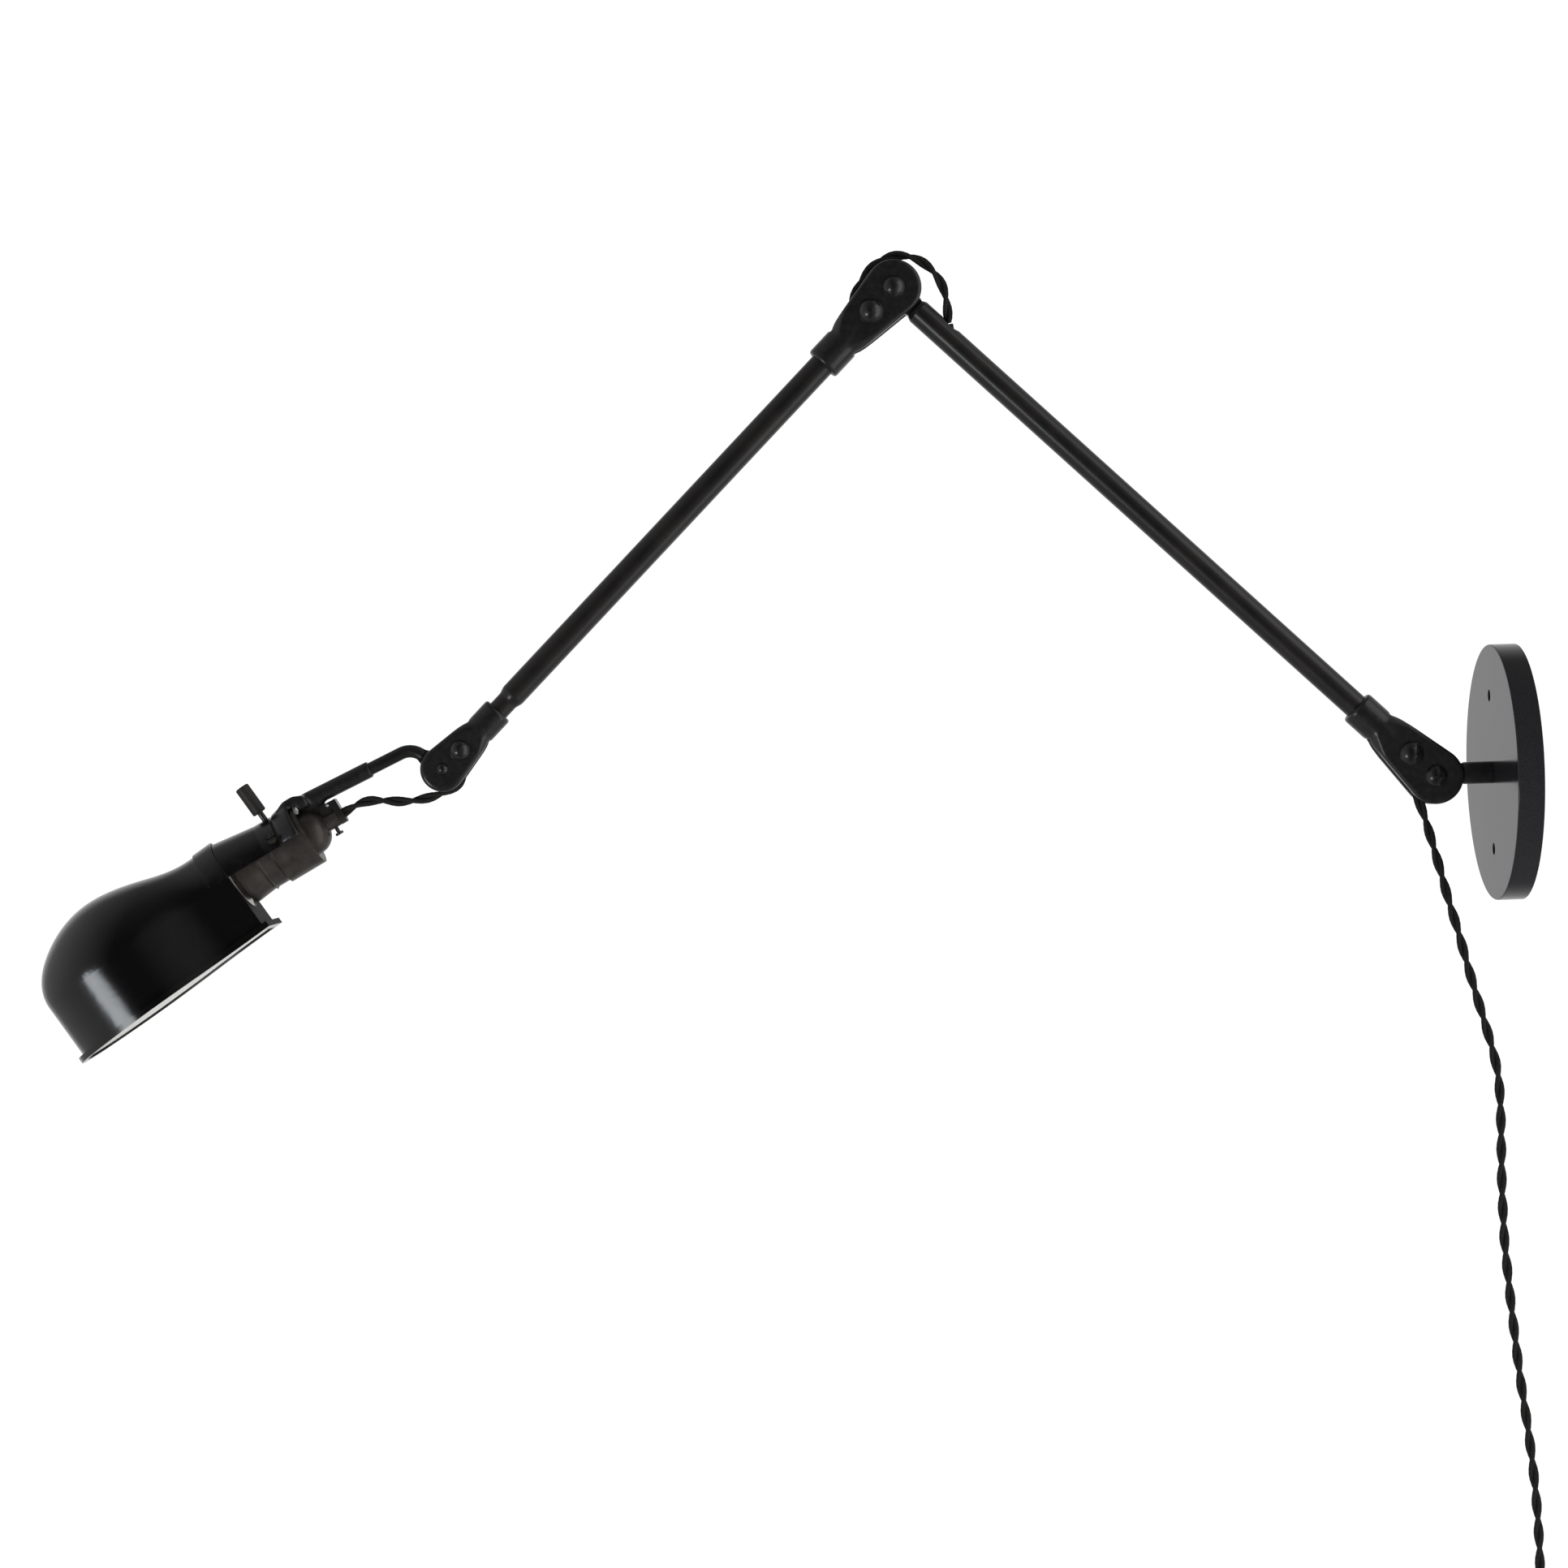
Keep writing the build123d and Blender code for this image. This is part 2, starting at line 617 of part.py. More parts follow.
# Yoke: one casting with a bored stem, a hub, half a ring over the socket and two lugs
stem_tube_at = side_plane(rod_corner, droop)
stem_tube_end = stem_tube_start + stem_tube_length
hub_front = arch_end - hub_front_back
shell_radius = shell_diameter / 2
arch_radius = arch_outer_diameter / 2
half_tube_radius = half_tube_start_diameter / 2
lug_radius = half_tube_radius + seat_gap
yoke_screw_side = sqrt(lug_radius ** 2 - yoke_screw_drop ** 2)
with BuildPart() as head_yoke:
    stem = [(stem_tube_start, 0), (stem_tube_start, stem_tube_diameter / 2 - small_break),
            (stem_tube_start + small_break, stem_tube_diameter / 2),
            (stem_tube_end, stem_tube_diameter / 2),
            (stem_tube_end, 0)]
    revolve(outline_face(stem_tube_at, stem), axis=axis_of(stem_tube_at))
    with BuildSketch(socket_at):
        with BuildLine():
            Polyline((yoke_start, -hub_underside), (yoke_start, hub_slope_drop - hub_height),
                     (yoke_start + hub_slope_run, -hub_height), (arch_start + 1, -hub_height),
                     (hub_front, hub_front_drop - arch_radius), (hub_front, -hub_underside), close=True)
        make_face()
    extrude(amount=hub_width / 2, both=True)
    fillet(head_yoke.edges().filter_by(Axis.Y).group_by(Axis.Z)[-1], hub_round)
    arch = [(arch_start, 0), (arch_start, arch_radius - edge_break),
            (arch_start + edge_break, arch_radius),
            (arch_end - arch_slope_run, arch_radius - edge_break), (arch_end, half_tube_radius),
            (arch_end, 0)]
    revolve(outline_face(socket_at, arch), axis=axis_of(socket_at))
    with BuildSketch(across(socket_at, lug_start)):
        Circle(lug_radius + lug_thickness)
        Circle(lug_radius, mode=Mode.SUBTRACT)
        with Locations((0, -yoke_screw_drop)):
            Rectangle(2 * arch_outer_diameter, lug_width, mode=Mode.INTERSECT)
    extrude(amount=lug_end - lug_start)
    with BuildSketch(across(socket_at, cap_shoulder)):
        Circle(shell_radius + seat_gap)
    extrude(amount=arch_end, mode=Mode.SUBTRACT)
    with BuildSketch(socket_at):
        with Locations((arch_end, arch_radius - edge_above_axis)):
            Rectangle(2 * arch_end, arch_outer_diameter)
    extrude(amount=arch_outer_diameter, both=True, mode=Mode.SUBTRACT)
    with BuildSketch(across(stem_tube_at, stem_tube_start)):
        Circle(rod_diameter / 2 + running_gap)
    extrude(amount=rod_seat_depth + seat_gap, mode=Mode.SUBTRACT)
    for side in (-1, 1):
        screw_root = socket_at.from_local_coords((yoke_screw_reach, 0, 0))
        screw_out = -socket_at.y_dir * yoke_screw_drop + socket_at.z_dir * (side * yoke_screw_side)
        with BuildSketch(Plane(origin=screw_root, z_dir=screw_out)):
            Circle(yoke_screw_diameter / 2 + running_gap)
        extrude(amount=arch_outer_diameter, mode=Mode.SUBTRACT)
head_yoke.part.label = "head_yoke"
export_step(head_yoke.part, "parts/head_yoke.step")

with BuildPart() as carrier_screws:
    for side in (-1, 1):
        screw_out = -socket_at.y_dir * yoke_screw_drop + socket_at.z_dir * (side * yoke_screw_side)
        screw_at = Plane(origin=screw_root, x_dir=socket_at.x_dir, z_dir=screw_out)
        head_base = lug_radius + lug_thickness
        with BuildSketch(screw_at.offset(shell_radius + seat_gap)):
            Circle(yoke_screw_diameter / 2)
        extrude(amount=head_base - shell_radius - seat_gap)
        with BuildSketch(screw_at.offset(head_base)):
            Circle(yoke_screw_head_diameter / 2)
        extrude(amount=yoke_screw_head_height)
        with BuildSketch(screw_at.offset(head_base + yoke_screw_head_height)):
            Rectangle(2 * yoke_screw_head_diameter, yoke_screw_slot)
        extrude(amount=-yoke_screw_slot, mode=Mode.SUBTRACT)
carrier_screws.part.label = "carrier_screws"
export_step(carrier_screws.part, "parts/carrier_screws.step")

# Hanger plate under the stem, which the cord passes through
with BuildPart() as socket_hanger:
    with BuildSketch(across(socket_at, -hanger_thickness / 2)):
        Circle(hanger_width / 2)
        with Locations((0, hanger_rise / 2)):
            Rectangle(hanger_width, hanger_rise)
        Circle(neck_bore_diameter / 2, mode=Mode.SUBTRACT)
    extrude(amount=hanger_thickness)
    with BuildSketch(socket_at):
        with BuildLine():
            Polyline((0, -hanger_rise), (hanger_arm_end, hanger_arm_end * hanger_slope - hanger_rise),
                     (hanger_arm_end, hanger_arm_low), (0, hanger_arm_low), close=True)
        make_face()
        with Locations((hanger_hole_reach, -hanger_hole_rise)):
            Circle(hanger_hole_diameter / 2, mode=Mode.SUBTRACT)
    extrude(amount=hanger_width / 2, both=True)
socket_hanger.part.label = "socket_hanger"
export_step(socket_hanger.part, "parts/socket_hanger.step")

# Socket cap: short neck with a set screw, then a dome that closes the shell
neck_start = hanger_thickness / 2
neck_bore = neck_bore_diameter / 2
cap_neck_radius = cap_neck_diameter / 2
cap_base_radius = cap_base_diameter / 2
cap_inner_radius = cap_base_radius - cap_wall
cap_rim = cap_length + small_break
flange_radius = shell_radius - shell_wall - running_gap
neck_screw_at = Plane(origin=socket_at.from_local_coords((neck_screw_reach, 0, 0)),
                      x_dir=socket_at.x_dir, z_dir=socket_at.y_dir)
with BuildPart() as socket_cap:
    with BuildSketch(socket_at):
        with BuildLine():
            Polyline((neck_start, neck_bore), (neck_start, cap_neck_radius),
                     (cap_neck_length, cap_neck_radius))
            ThreePointArc((cap_neck_length, cap_neck_radius), (cap_swell_reach, cap_swell_radius),
                          (cap_shoulder, cap_base_radius))
            Polyline((cap_shoulder, cap_base_radius),
                     (cap_length - edge_break, cap_base_radius + cap_flare),
                     (cap_length - edge_break, flange_radius), (cap_rim, flange_radius),
                     (cap_rim, cap_inner_radius), (cap_shoulder, cap_inner_radius))
            ThreePointArc((cap_shoulder, cap_inner_radius),
                          (cap_swell_reach + cap_wall, cap_swell_radius - cap_wall),
                          (cap_neck_length + cap_wall, neck_bore))
            Line((cap_neck_length + cap_wall, neck_bore), (neck_start, neck_bore))
        make_face()
    revolve(axis=axis_of(socket_at))
    with BuildSketch(neck_screw_at):
        Circle(neck_screw_diameter / 2 + running_gap)
    extrude(amount=cap_neck_diameter, mode=Mode.SUBTRACT)
socket_cap.part.label = "socket_cap"
export_step(socket_cap.part, "parts/socket_cap.step")

with BuildPart() as neck_set_screw:
    with BuildSketch(neck_screw_at.offset(neck_bore)):
        Circle(neck_screw_diameter / 2)
    extrude(amount=neck_screw_length)
    with BuildSketch(neck_screw_at.offset(neck_bore + neck_screw_length)):
        Circle(neck_screw_head_diameter / 2)
    extrude(amount=neck_screw_head_height)
neck_set_screw.part.label = "neck_set_screw"
export_step(neck_set_screw.part, "parts/neck_set_screw.step")

# Socket shell with a rolled bead, its paper liner, the porcelain body and the contacts
key_at = above(shade_at, -key_offset)
narrow_radius = shell_narrow_diameter / 2
shell_mouth = shell_end - shell_lip
shell_outside = [(cap_length - edge_break, shell_radius), (shell_wide_end, shell_radius - shell_draft),
                 (shell_wide_end + edge_break, narrow_radius),
                 (shell_bead_start - edge_break, narrow_radius),
                 (shell_bead_start, narrow_radius + edge_break),
                 (shell_bead_start + edge_break, narrow_radius),
                 (shell_mouth, shell_end_diameter / 2), (shell_end, shell_end_diameter / 2)]
shell_inside = [(along, radius - shell_wall) for along, radius in reversed(shell_outside)]
with BuildPart() as socket_shell:
    revolve(outline_face(socket_at, shell_outside + shell_inside), axis=axis_of(socket_at))
    with BuildSketch(key_at):
        Circle(key_hole_diameter / 2)
    extrude(amount=key_grip_base, mode=Mode.SUBTRACT)
socket_shell.part.label = "socket_shell"
export_step(socket_shell.part, "parts/socket_shell.step")

interior_start = cap_rim
interior_end = shell_wide_end - interior_back
interior_radius = interior_diameter / 2
liner_radius = shell_radius - shell_wall - seat_gap
with BuildPart() as shell_liner:
    with BuildSketch(across(socket_at, interior_start + seat_gap)):
        Circle(liner_radius)
        Circle(liner_radius - liner_thickness, mode=Mode.SUBTRACT)
    extrude(amount=interior_end - interior_start - seat_gap)
    with BuildSketch(key_at):
        Circle(key_hole_diameter / 2)
    extrude(amount=key_grip_base, mode=Mode.SUBTRACT)
shell_liner.part.label = "shell_liner"
export_step(shell_liner.part, "parts/shell_liner.step")

with BuildPart() as socket_interior:
    with BuildSketch(across(socket_at, interior_start)):
        Circle(interior_radius)
    extrude(amount=interior_end - interior_start)
    with BuildSketch(key_at):
        Circle(key_stem_diameter / 2 + running_gap)
    extrude(amount=key_grip_base, mode=Mode.SUBTRACT)
socket_interior.part.label = "socket_interior"
export_step(socket_interior.part, "parts/socket_interior.step")

with BuildPart() as screw_shell:
    with BuildSketch(across(socket_at, interior_end)):
        Circle(screw_shell_diameter / 2)
        Circle(screw_shell_diameter / 2 - screw_shell_wall, mode=Mode.SUBTRACT)
    extrude(amount=shell_mouth - interior_end)
screw_shell.part.label = "screw_shell"
export_step(screw_shell.part, "parts/screw_shell.step")

with BuildPart() as centre_contact:
    with BuildSketch(across(socket_at, interior_end)):
        Circle(contact_diameter / 2)
    extrude(amount=contact_height, taper=contact_taper)
centre_contact.part.label = "centre_contact"
export_step(centre_contact.part, "parts/centre_contact.step")

with BuildPart() as terminal_screws:
    with BuildSketch(across(socket_at, interior_start - terminal_height)):
        with Locations((0, -terminal_spread / 2), (0, terminal_spread / 2)):
            Circle(terminal_diameter / 2)
    extrude(amount=terminal_height)
terminal_screws.part.label = "terminal_screws"
export_step(terminal_screws.part, "parts/terminal_screws.step")

# Turn key: slim stem into the socket and a round grip
with BuildPart() as key_stem:
    with BuildSketch(key_at.offset(key_tip)):
        Circle(key_stem_diameter / 2)
    extrude(amount=key_grip_base - key_tip + key_seat_depth)
key_stem.part.label = "key_stem"
export_step(key_stem.part, "parts/key_stem.step")

with BuildPart() as key_grip:
    with BuildSketch(key_at.offset(key_grip_base)):
        Circle(key_grip_diameter / 2)
    extrude(amount=key_grip_length)
    chamfer(key_grip.edges().filter_by(GeomType.CIRCLE), small_break)
    with BuildSketch(key_at.offset(key_grip_base)):
        Circle(key_stem_diameter / 2 + running_gap)
    extrude(amount=key_seat_depth, mode=Mode.SUBTRACT)
key_grip.part.label = "key_grip"
export_step(key_grip.part, "parts/key_grip.step")

# Half tube that carries the shade: slightly conical, ending in a half band round the shade's neck
shade_neck_radius = shade_neck_diameter / 2
band_radius = shade_neck_radius + running_gap
half_tube_outside = [(half_tube_start, half_tube_radius), (half_tube_bend, half_tube_radius),
                     (half_tube_end, half_tube_end_diameter / 2)]
half_tube_inside = [(along, radius - sheet_wall) for along, radius in reversed(half_tube_outside)]
with BuildPart() as shade_carrier:
    revolve(outline_face(socket_at, half_tube_outside + half_tube_inside), axis=axis_of(socket_at))
    with BuildSketch(across(shade_at, 0)):
        Circle(band_radius)
    extrude(amount=band_length, mode=Mode.SUBTRACT)
    with BuildSketch(across(shade_at, 0)):
        Circle(band_radius + band_wall)
        Circle(band_radius, mode=Mode.SUBTRACT)
    extrude(amount=band_length)
    with BuildSketch(socket_at):
        with Locations((half_tube_end, plate_diameter / 2 - edge_above_axis)):
            Rectangle(plate_diameter, plate_diameter)
    extrude(amount=band_radius + 2 * band_wall, both=True, mode=Mode.SUBTRACT)
    with BuildSketch(key_at):
        Circle(key_hole_diameter / 2)
    extrude(amount=key_grip_base, mode=Mode.SUBTRACT)
    for side in (-1, 1):
        screw_out = -socket_at.y_dir * yoke_screw_drop + socket_at.z_dir * (side * yoke_screw_side)
        with BuildSketch(Plane(origin=screw_root, z_dir=screw_out)):
            Circle(yoke_screw_diameter / 2 + running_gap)
        extrude(amount=arch_outer_diameter, mode=Mode.SUBTRACT)
shade_carrier.part.label = "shade_carrier"
export_step(shade_carrier.part, "parts/shade_carrier.step")

# Shade: a hood with a turned upper half and straight walls below, open underneath
plan_at = Plane(origin=shade_origin, x_dir=shade_at.x_dir, z_dir=shade_at.y_dir)
hood_axis = Axis(shade_origin, -shade_at.x_dir)


def hood_face(at, inset):
    """Half outline of the hood, from its axis at the rear round to the nose, drawn in by inset."""
    side = shade_neck_radius - inset
    with BuildSketch(at) as face:
        with BuildLine():
            Polyline((shade_length - inset, 0), (inset, 0), (inset, side), (shade_neck_length, side))
            Spline((shade_neck_length, side), (shade_swell_reach, shade_swell_height - inset),
                   (shade_crown_reach, shade_crown_height - inset),
                   (shade_shoulder_reach - inset / 2, shade_shoulder_height - inset / 2),
                   (shade_length - inset, 0), tangents=[(1, 0), (0, -1)])
        make_face()
    return face.sketch


def hood_plan(inset):
    """Whole plan outline of the hood, drawn in by inset."""
    with BuildSketch(plan_at) as face:
        add(hood_face(Plane.XY, inset))
        mirror(about=Plane.XZ)
    return face.sketch


with BuildPart() as shade:
    revolve(hood_face(plan_at, 0), axis=hood_axis, revolution_arc=180)
    extrude(hood_plan(0), amount=shade_depth)
    revolve(hood_face(plan_at, shade_wall), axis=hood_axis, revolution_arc=180, mode=Mode.SUBTRACT)
    extrude(hood_plan(shade_wall), amount=shade_depth, mode=Mode.SUBTRACT)
    extrude(hood_plan(-rim_bead_reach).moved(Location(plan_at.z_dir * (shade_depth - rim_bead_height / 2))),
            amount=rim_bead_height)
    extrude(hood_plan(shade_wall).moved(Location(plan_at.z_dir * (shade_depth - rim_bead_height))),
            amount=2 * rim_bead_height, mode=Mode.SUBTRACT)
    with BuildSketch(across(shade_at, -shade_wall)):
        Circle(shade_neck_radius - shade_wall)
    extrude(amount=3 * shade_wall, mode=Mode.SUBTRACT)
shade.part.label = "shade"
export_step(shade.part, "parts/shade.step")

# Lamp bulb
base_radius = bulb_base_diameter / 2
with BuildPart() as bulb_base:
    cap = [(bulb_base_start, 0), (bulb_base_start, bulb_tip_radius),
           (bulb_base_start + bulb_tip_height, bulb_tip_radius + bulb_tip_height),
           (bulb_base_start + 3 * bulb_tip_height, base_radius - 2 * bulb_tip_height),
           (bulb_base_start + 4 * bulb_tip_height, base_radius), (bulb_base_end, base_radius),
           (bulb_base_end, 0)]
    revolve(outline_face(socket_at, cap), axis=axis_of(socket_at))
bulb_base.part.label = "bulb_base"
export_step(bulb_base.part, "parts/bulb_base.step")

def bulb_face(inset):
    """Half section of the bulb's glass, from its base to its round end, drawn in by inset."""
    radius = bulb_diameter / 2 - inset
    neck = bulb_neck_diameter / 2 - inset
    centre = bulb_end - bulb_diameter / 2
    with BuildSketch(socket_at) as face:
        with BuildLine():
            Polyline((centre + radius, 0), (bulb_base_end + inset, 0), (bulb_base_end + inset, neck))
            Spline((bulb_base_end + inset, neck), (bulb_shoulder, radius), tangents=[(1, 0), (1, 0)])
            Line((bulb_shoulder, radius), (centre, radius))
            RadiusArc((centre, radius), (centre + radius, 0), radius)
        make_face()
    return face.sketch


with BuildPart() as bulb_glass:
    revolve(bulb_face(0), axis=axis_of(socket_at))
    revolve(bulb_face(glass_wall), axis=axis_of(socket_at), mode=Mode.SUBTRACT)
bulb_glass.part.label = "bulb_glass"
export_step(bulb_glass.part, "parts/bulb_glass.step")


# Cords: hand-set points, straight runs between them and an arc at each corner
def corner_radii(corners):
    """Bend radius at each inner corner, from its shorter run and its turn."""
    radii = []
    for before, corner, after in zip(corners, corners[1:], corners[2:]):
        arriving = corner - before
        leaving = after - corner
        half_turn = radians(arriving.get_angle(leaving) / 2)
        radii.append(corner_share * min(arriving.length, leaving.length) / tan(half_turn))
    return radii


def cord_tube(corners):
    """Round cord along a bent line, with a report on its bends and its volume."""
    radii = corner_radii(corners)
    with BuildPart() as tube:
        with BuildLine() as path:
            if radii:
                FilletPolyline(*corners, radius=radii)
            else:
                Line(*corners)
        with BuildSketch(Plane(origin=path.line @ 0, z_dir=path.line % 0)):
            Circle(cord_diameter / 2)
        sweep()
    length = path.wire().length
    expected = pi * cord_diameter ** 2 / 4 * length
    print(f"length {length:.1f} volume {tube.part.volume:.0f} of {expected:.0f}",
          "radii", [round(radius, 1) for radius in radii])
    return tube.part


shoulder_throat = shoulder_at.from_local_coords((knuckle_throat, 0, 0))
elbow_throat = elbow_at.from_local_coords((knuckle_throat, 0, 0))
wrist_mouth = wrist_at.from_local_coords((wrist_throat, 0, 0))
cord_exit = rear_end_at.from_local_coords((cord_exit_reach - cord_exit_back,
                                           tube_radius - cord_exit_sink, 0))
cord_bend = rear_end_at.from_local_coords((cord_exit_reach + cord_bend_back, 0, 0))
cord_inner_end = cord_exit - (cord_exit - cord_bend).normalized() * cord_end_gap
coil_start = Vector(coil_first_x, coil_left, coil_height + cord_diameter)

cord_routes = {
    "hanging_cord": [
        shoulder_throat, Vector(-62.3, 0, 15.0), Vector(-59.2, 0, 4.9), Vector(-54.2, 0, -4.9),
        Vector(-49.8, 0, -11.6), Vector(-46.8, 0, -20.1), Vector(-43.1, 0, -34.4),
        Vector(-39.4, -0.6, -49.0),
        Vector(-36.2, -1.2, -63.2), Vector(-32.1, -1.8, -77.8), Vector(-28.8, -2.4, -92.4),
        Vector(-25.2, -3.0, -106.7), Vector(-21.4, -3.7, -121.1), Vector(-17.9, -4.2, -134.7),
        Vector(-14.9, -4.8, -149.0), Vector(-14.5, -5.5, -163.4), Vector(-14.7, -6.0, -177.0),
        Vector(-15.1, -6.6, -191.0), Vector(-15.5, -7.3, -205.8), Vector(-15.4, -7.8, -219.0),
        Vector(-15.3, -8.5, -233.4), Vector(-14.2, -9.1, -248.2), Vector(-13.3, -9.7, -262.9),
        Vector(-12.1, -10.3, -277.5), Vector(-10.9, -11.0, -292.1), Vector(-9.4, -11.6, -306.9),
        Vector(-7.5, -12.0, -322.1), Vector(-6.0, -12.2, -337.3), Vector(-4.7, -12.2, -353.0),
        Vector(-3.9, -12.4, -368.4), Vector(-3.6, -12.6, -383.0), Vector(-3.7, -12.7, -397.8),
        Vector(-3.9, -12.4, -412.6), Vector(-4.0, -12.0, -428.3), coil_start],
    "elbow_cord": [
        cord_exit, Vector(-275.0, 0, 243.9), Vector(-281.3, 0, 258.1), Vector(-293.8, 0, 266.4),
        Vector(-308.4, 0, 264.9), Vector(-318.3, 0, 253.6), Vector(-321.8, 0, 245.8),
        Vector(-323.5, 0, 236.6),
        Vector(-325.3, 0, 229.2), elbow_throat],
    "wrist_cord": [
        wrist_mouth, Vector(-517.2, 0, 31.6), Vector(-519.0, 0, 23.6), Vector(-522.0, 0, 15.6),
        Vector(-525.2, 0, 10.1), Vector(-531.4, 0, 6.9), Vector(-538.8, 0, 4.2), Vector(-546.5, 0, 2.9),
        Vector(-553.8, 0, 2.3), Vector(-561.0, 0, 3.1), Vector(-569.2, 0, 3.6), Vector(-577.0, 0, 1.8),
        socket_origin],
    "rear_arm_cord": [shoulder_throat + rear_heading * cord_end_gap, cord_bend, cord_inner_end],
    "front_arm_cord": [elbow_throat + front_heading * cord_end_gap,
                       wrist_mouth - front_heading * cord_end_gap],
}
for cord, corners in cord_routes.items():
    tube = cord_tube(corners)
    tube.label = cord
    export_step(tube, f"parts/{cord}.step")

# Spare cord, wound flat against the wall in two layers of half turns
coil_second_x = coil_first_x - coil_pitch
coil_inner_radius = coil_outer_radius - coil_layer_turns * coil_pitch / 2
growth = coil_pitch / 2


def half_turn(x, side, direction, radius):
    """Ends and middle of a half turn, under the centre line towards +Y, over it towards -Y."""
    far_side = side + direction * 2 * radius
    middle = Vector(x, (side + far_side) / 2, coil_height - direction * radius)
    return Vector(x, side, coil_height), middle, Vector(x, far_side, coil_height)


with BuildPart() as cord_coil:
    with BuildLine() as winding:
        Line(coil_start, Vector(coil_first_x, coil_left, coil_height))
        side = coil_left
        direction = 1
        for turn in range(coil_layer_turns):
            start, middle, end = half_turn(coil_first_x, side, direction,
                                           coil_outer_radius - turn * growth)
            ThreePointArc(start, middle, end)
            side = end.Y
            direction = -direction
        start, middle, end = half_turn(coil_first_x, side, direction, coil_inner_radius)
        climb_radius = sqrt(coil_inner_radius ** 2 + growth ** 2)
        climb_top = Vector(coil_first_x - growth, middle.Y, coil_height - direction * climb_radius)
        ThreePointArc(start, climb_top, Vector(coil_second_x, end.Y, coil_height))
        side = end.Y
        direction = -direction
        for turn in range(coil_layer_turns + 1):
            start, middle, end = half_turn(coil_second_x, side, direction,
                                           coil_inner_radius + (turn + 1) * growth)
            ThreePointArc(start, middle, end)
            side = end.Y
            direction = -direction
        coil_end = Vector(coil_second_x, side, coil_height - cord_diameter)
        Line(Vector(coil_second_x, side, coil_height), coil_end)
    with BuildSketch(Plane(origin=winding.line @ 0, z_dir=winding.line % 0)):
        Circle(cord_diameter / 2)
    sweep()
cord_coil.part.label = "cord_coil"
export_step(cord_coil.part, "parts/cord_coil.step")

coil_length = winding.wire().length
sample_count = int(coil_length / 2)
samples = [winding.wire() @ (index / sample_count) for index in range(sample_count + 1)]
apart = int(4 * cord_diameter / 2)
least = min((samples[i] - samples[j]).length for i in range(len(samples)) for j in range(i + apart,
                                                                                         len(samples)))
print(f"coil length {coil_length:.1f} volume {cord_coil.part.volume:.0f}",
      f"of {pi * cord_diameter ** 2 / 4 * coil_length:.0f} least gap {least - cord_diameter:.2f}")

tie_y = coil_left + coil_outer_radius + growth
cord_radius = cord_diameter / 2
tie_inner_low = coil_inner_radius - cord_radius - tie_inner_gap
tie_inner_high = coil_outer_radius + growth + cord_radius + seat_gap
tie_inner_depth = coil_pitch + cord_diameter + 2 * seat_gap
with BuildPart() as coil_tie:
    with BuildSketch(Plane.XZ.offset(-tie_y)):
        with Locations((coil_first_x - growth, coil_height + (tie_inner_low + tie_inner_high) / 2)):
            RectangleRounded(tie_inner_depth + 2 * tie_thickness,
                             tie_inner_high - tie_inner_low + 2 * tie_thickness,
                             tie_corner + tie_thickness)
            RectangleRounded(tie_inner_depth, tie_inner_high - tie_inner_low, tie_corner,
                             mode=Mode.SUBTRACT)
    extrude(amount=tie_width / 2, both=True)
coil_tie.part.label = "coil_tie"
export_step(coil_tie.part, "parts/coil_tie.step")

# Plug on the end of the cord
plug_start = coil_end - Vector(0, 0, plug_lead_length)
plug_at = side_plane(plug_start, Vector(0, 0, -1))
with BuildPart() as plug_lead:
    with BuildSketch(Plane.XY.offset(plug_start.Z)):
        with Locations((plug_start.X, plug_start.Y)):
            Circle(cord_radius)
    extrude(amount=plug_lead_length)
plug_lead.part.label = "plug_lead"
export_step(plug_lead.part, "parts/plug_lead.step")

plug_radius = plug_diameter / 2
blade_places = [(-blade_spacing / 2, 0), (blade_spacing / 2, 0)]
with BuildPart() as plug_body:
    body = [(0, 0), (0, plug_throat_radius), (plug_length / 5, plug_throat_radius + edge_break),
            (plug_length / 2, plug_radius), (plug_length - edge_break, plug_radius),
            (plug_length, plug_radius - edge_break), (plug_length, 0)]
    revolve(outline_face(plug_at, body), axis=axis_of(plug_at))
    with BuildSketch(across(plug_at, plug_length)):
        with Locations(*blade_places):
            Rectangle(blade_thickness + 2 * running_gap, blade_width + 2 * running_gap)
    extrude(amount=-blade_seat, mode=Mode.SUBTRACT)
plug_body.part.label = "plug_body"
export_step(plug_body.part, "parts/plug_body.step")

with BuildPart() as plug_blades:
    with BuildSketch(across(plug_at, plug_length - blade_seat)):
        with Locations(*blade_places):
            Rectangle(blade_thickness, blade_width)
    extrude(amount=blade_length + blade_seat)
plug_blades.part.label = "plug_blades"
export_step(plug_blades.part, "parts/plug_blades.step")
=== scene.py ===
"""Articulating wall lamp with a turn-key socket and a hooded shade, seen from its side."""

from math import cos, pi, radians, sin

import bmesh
import bpy
from mathutils import Matrix, Vector


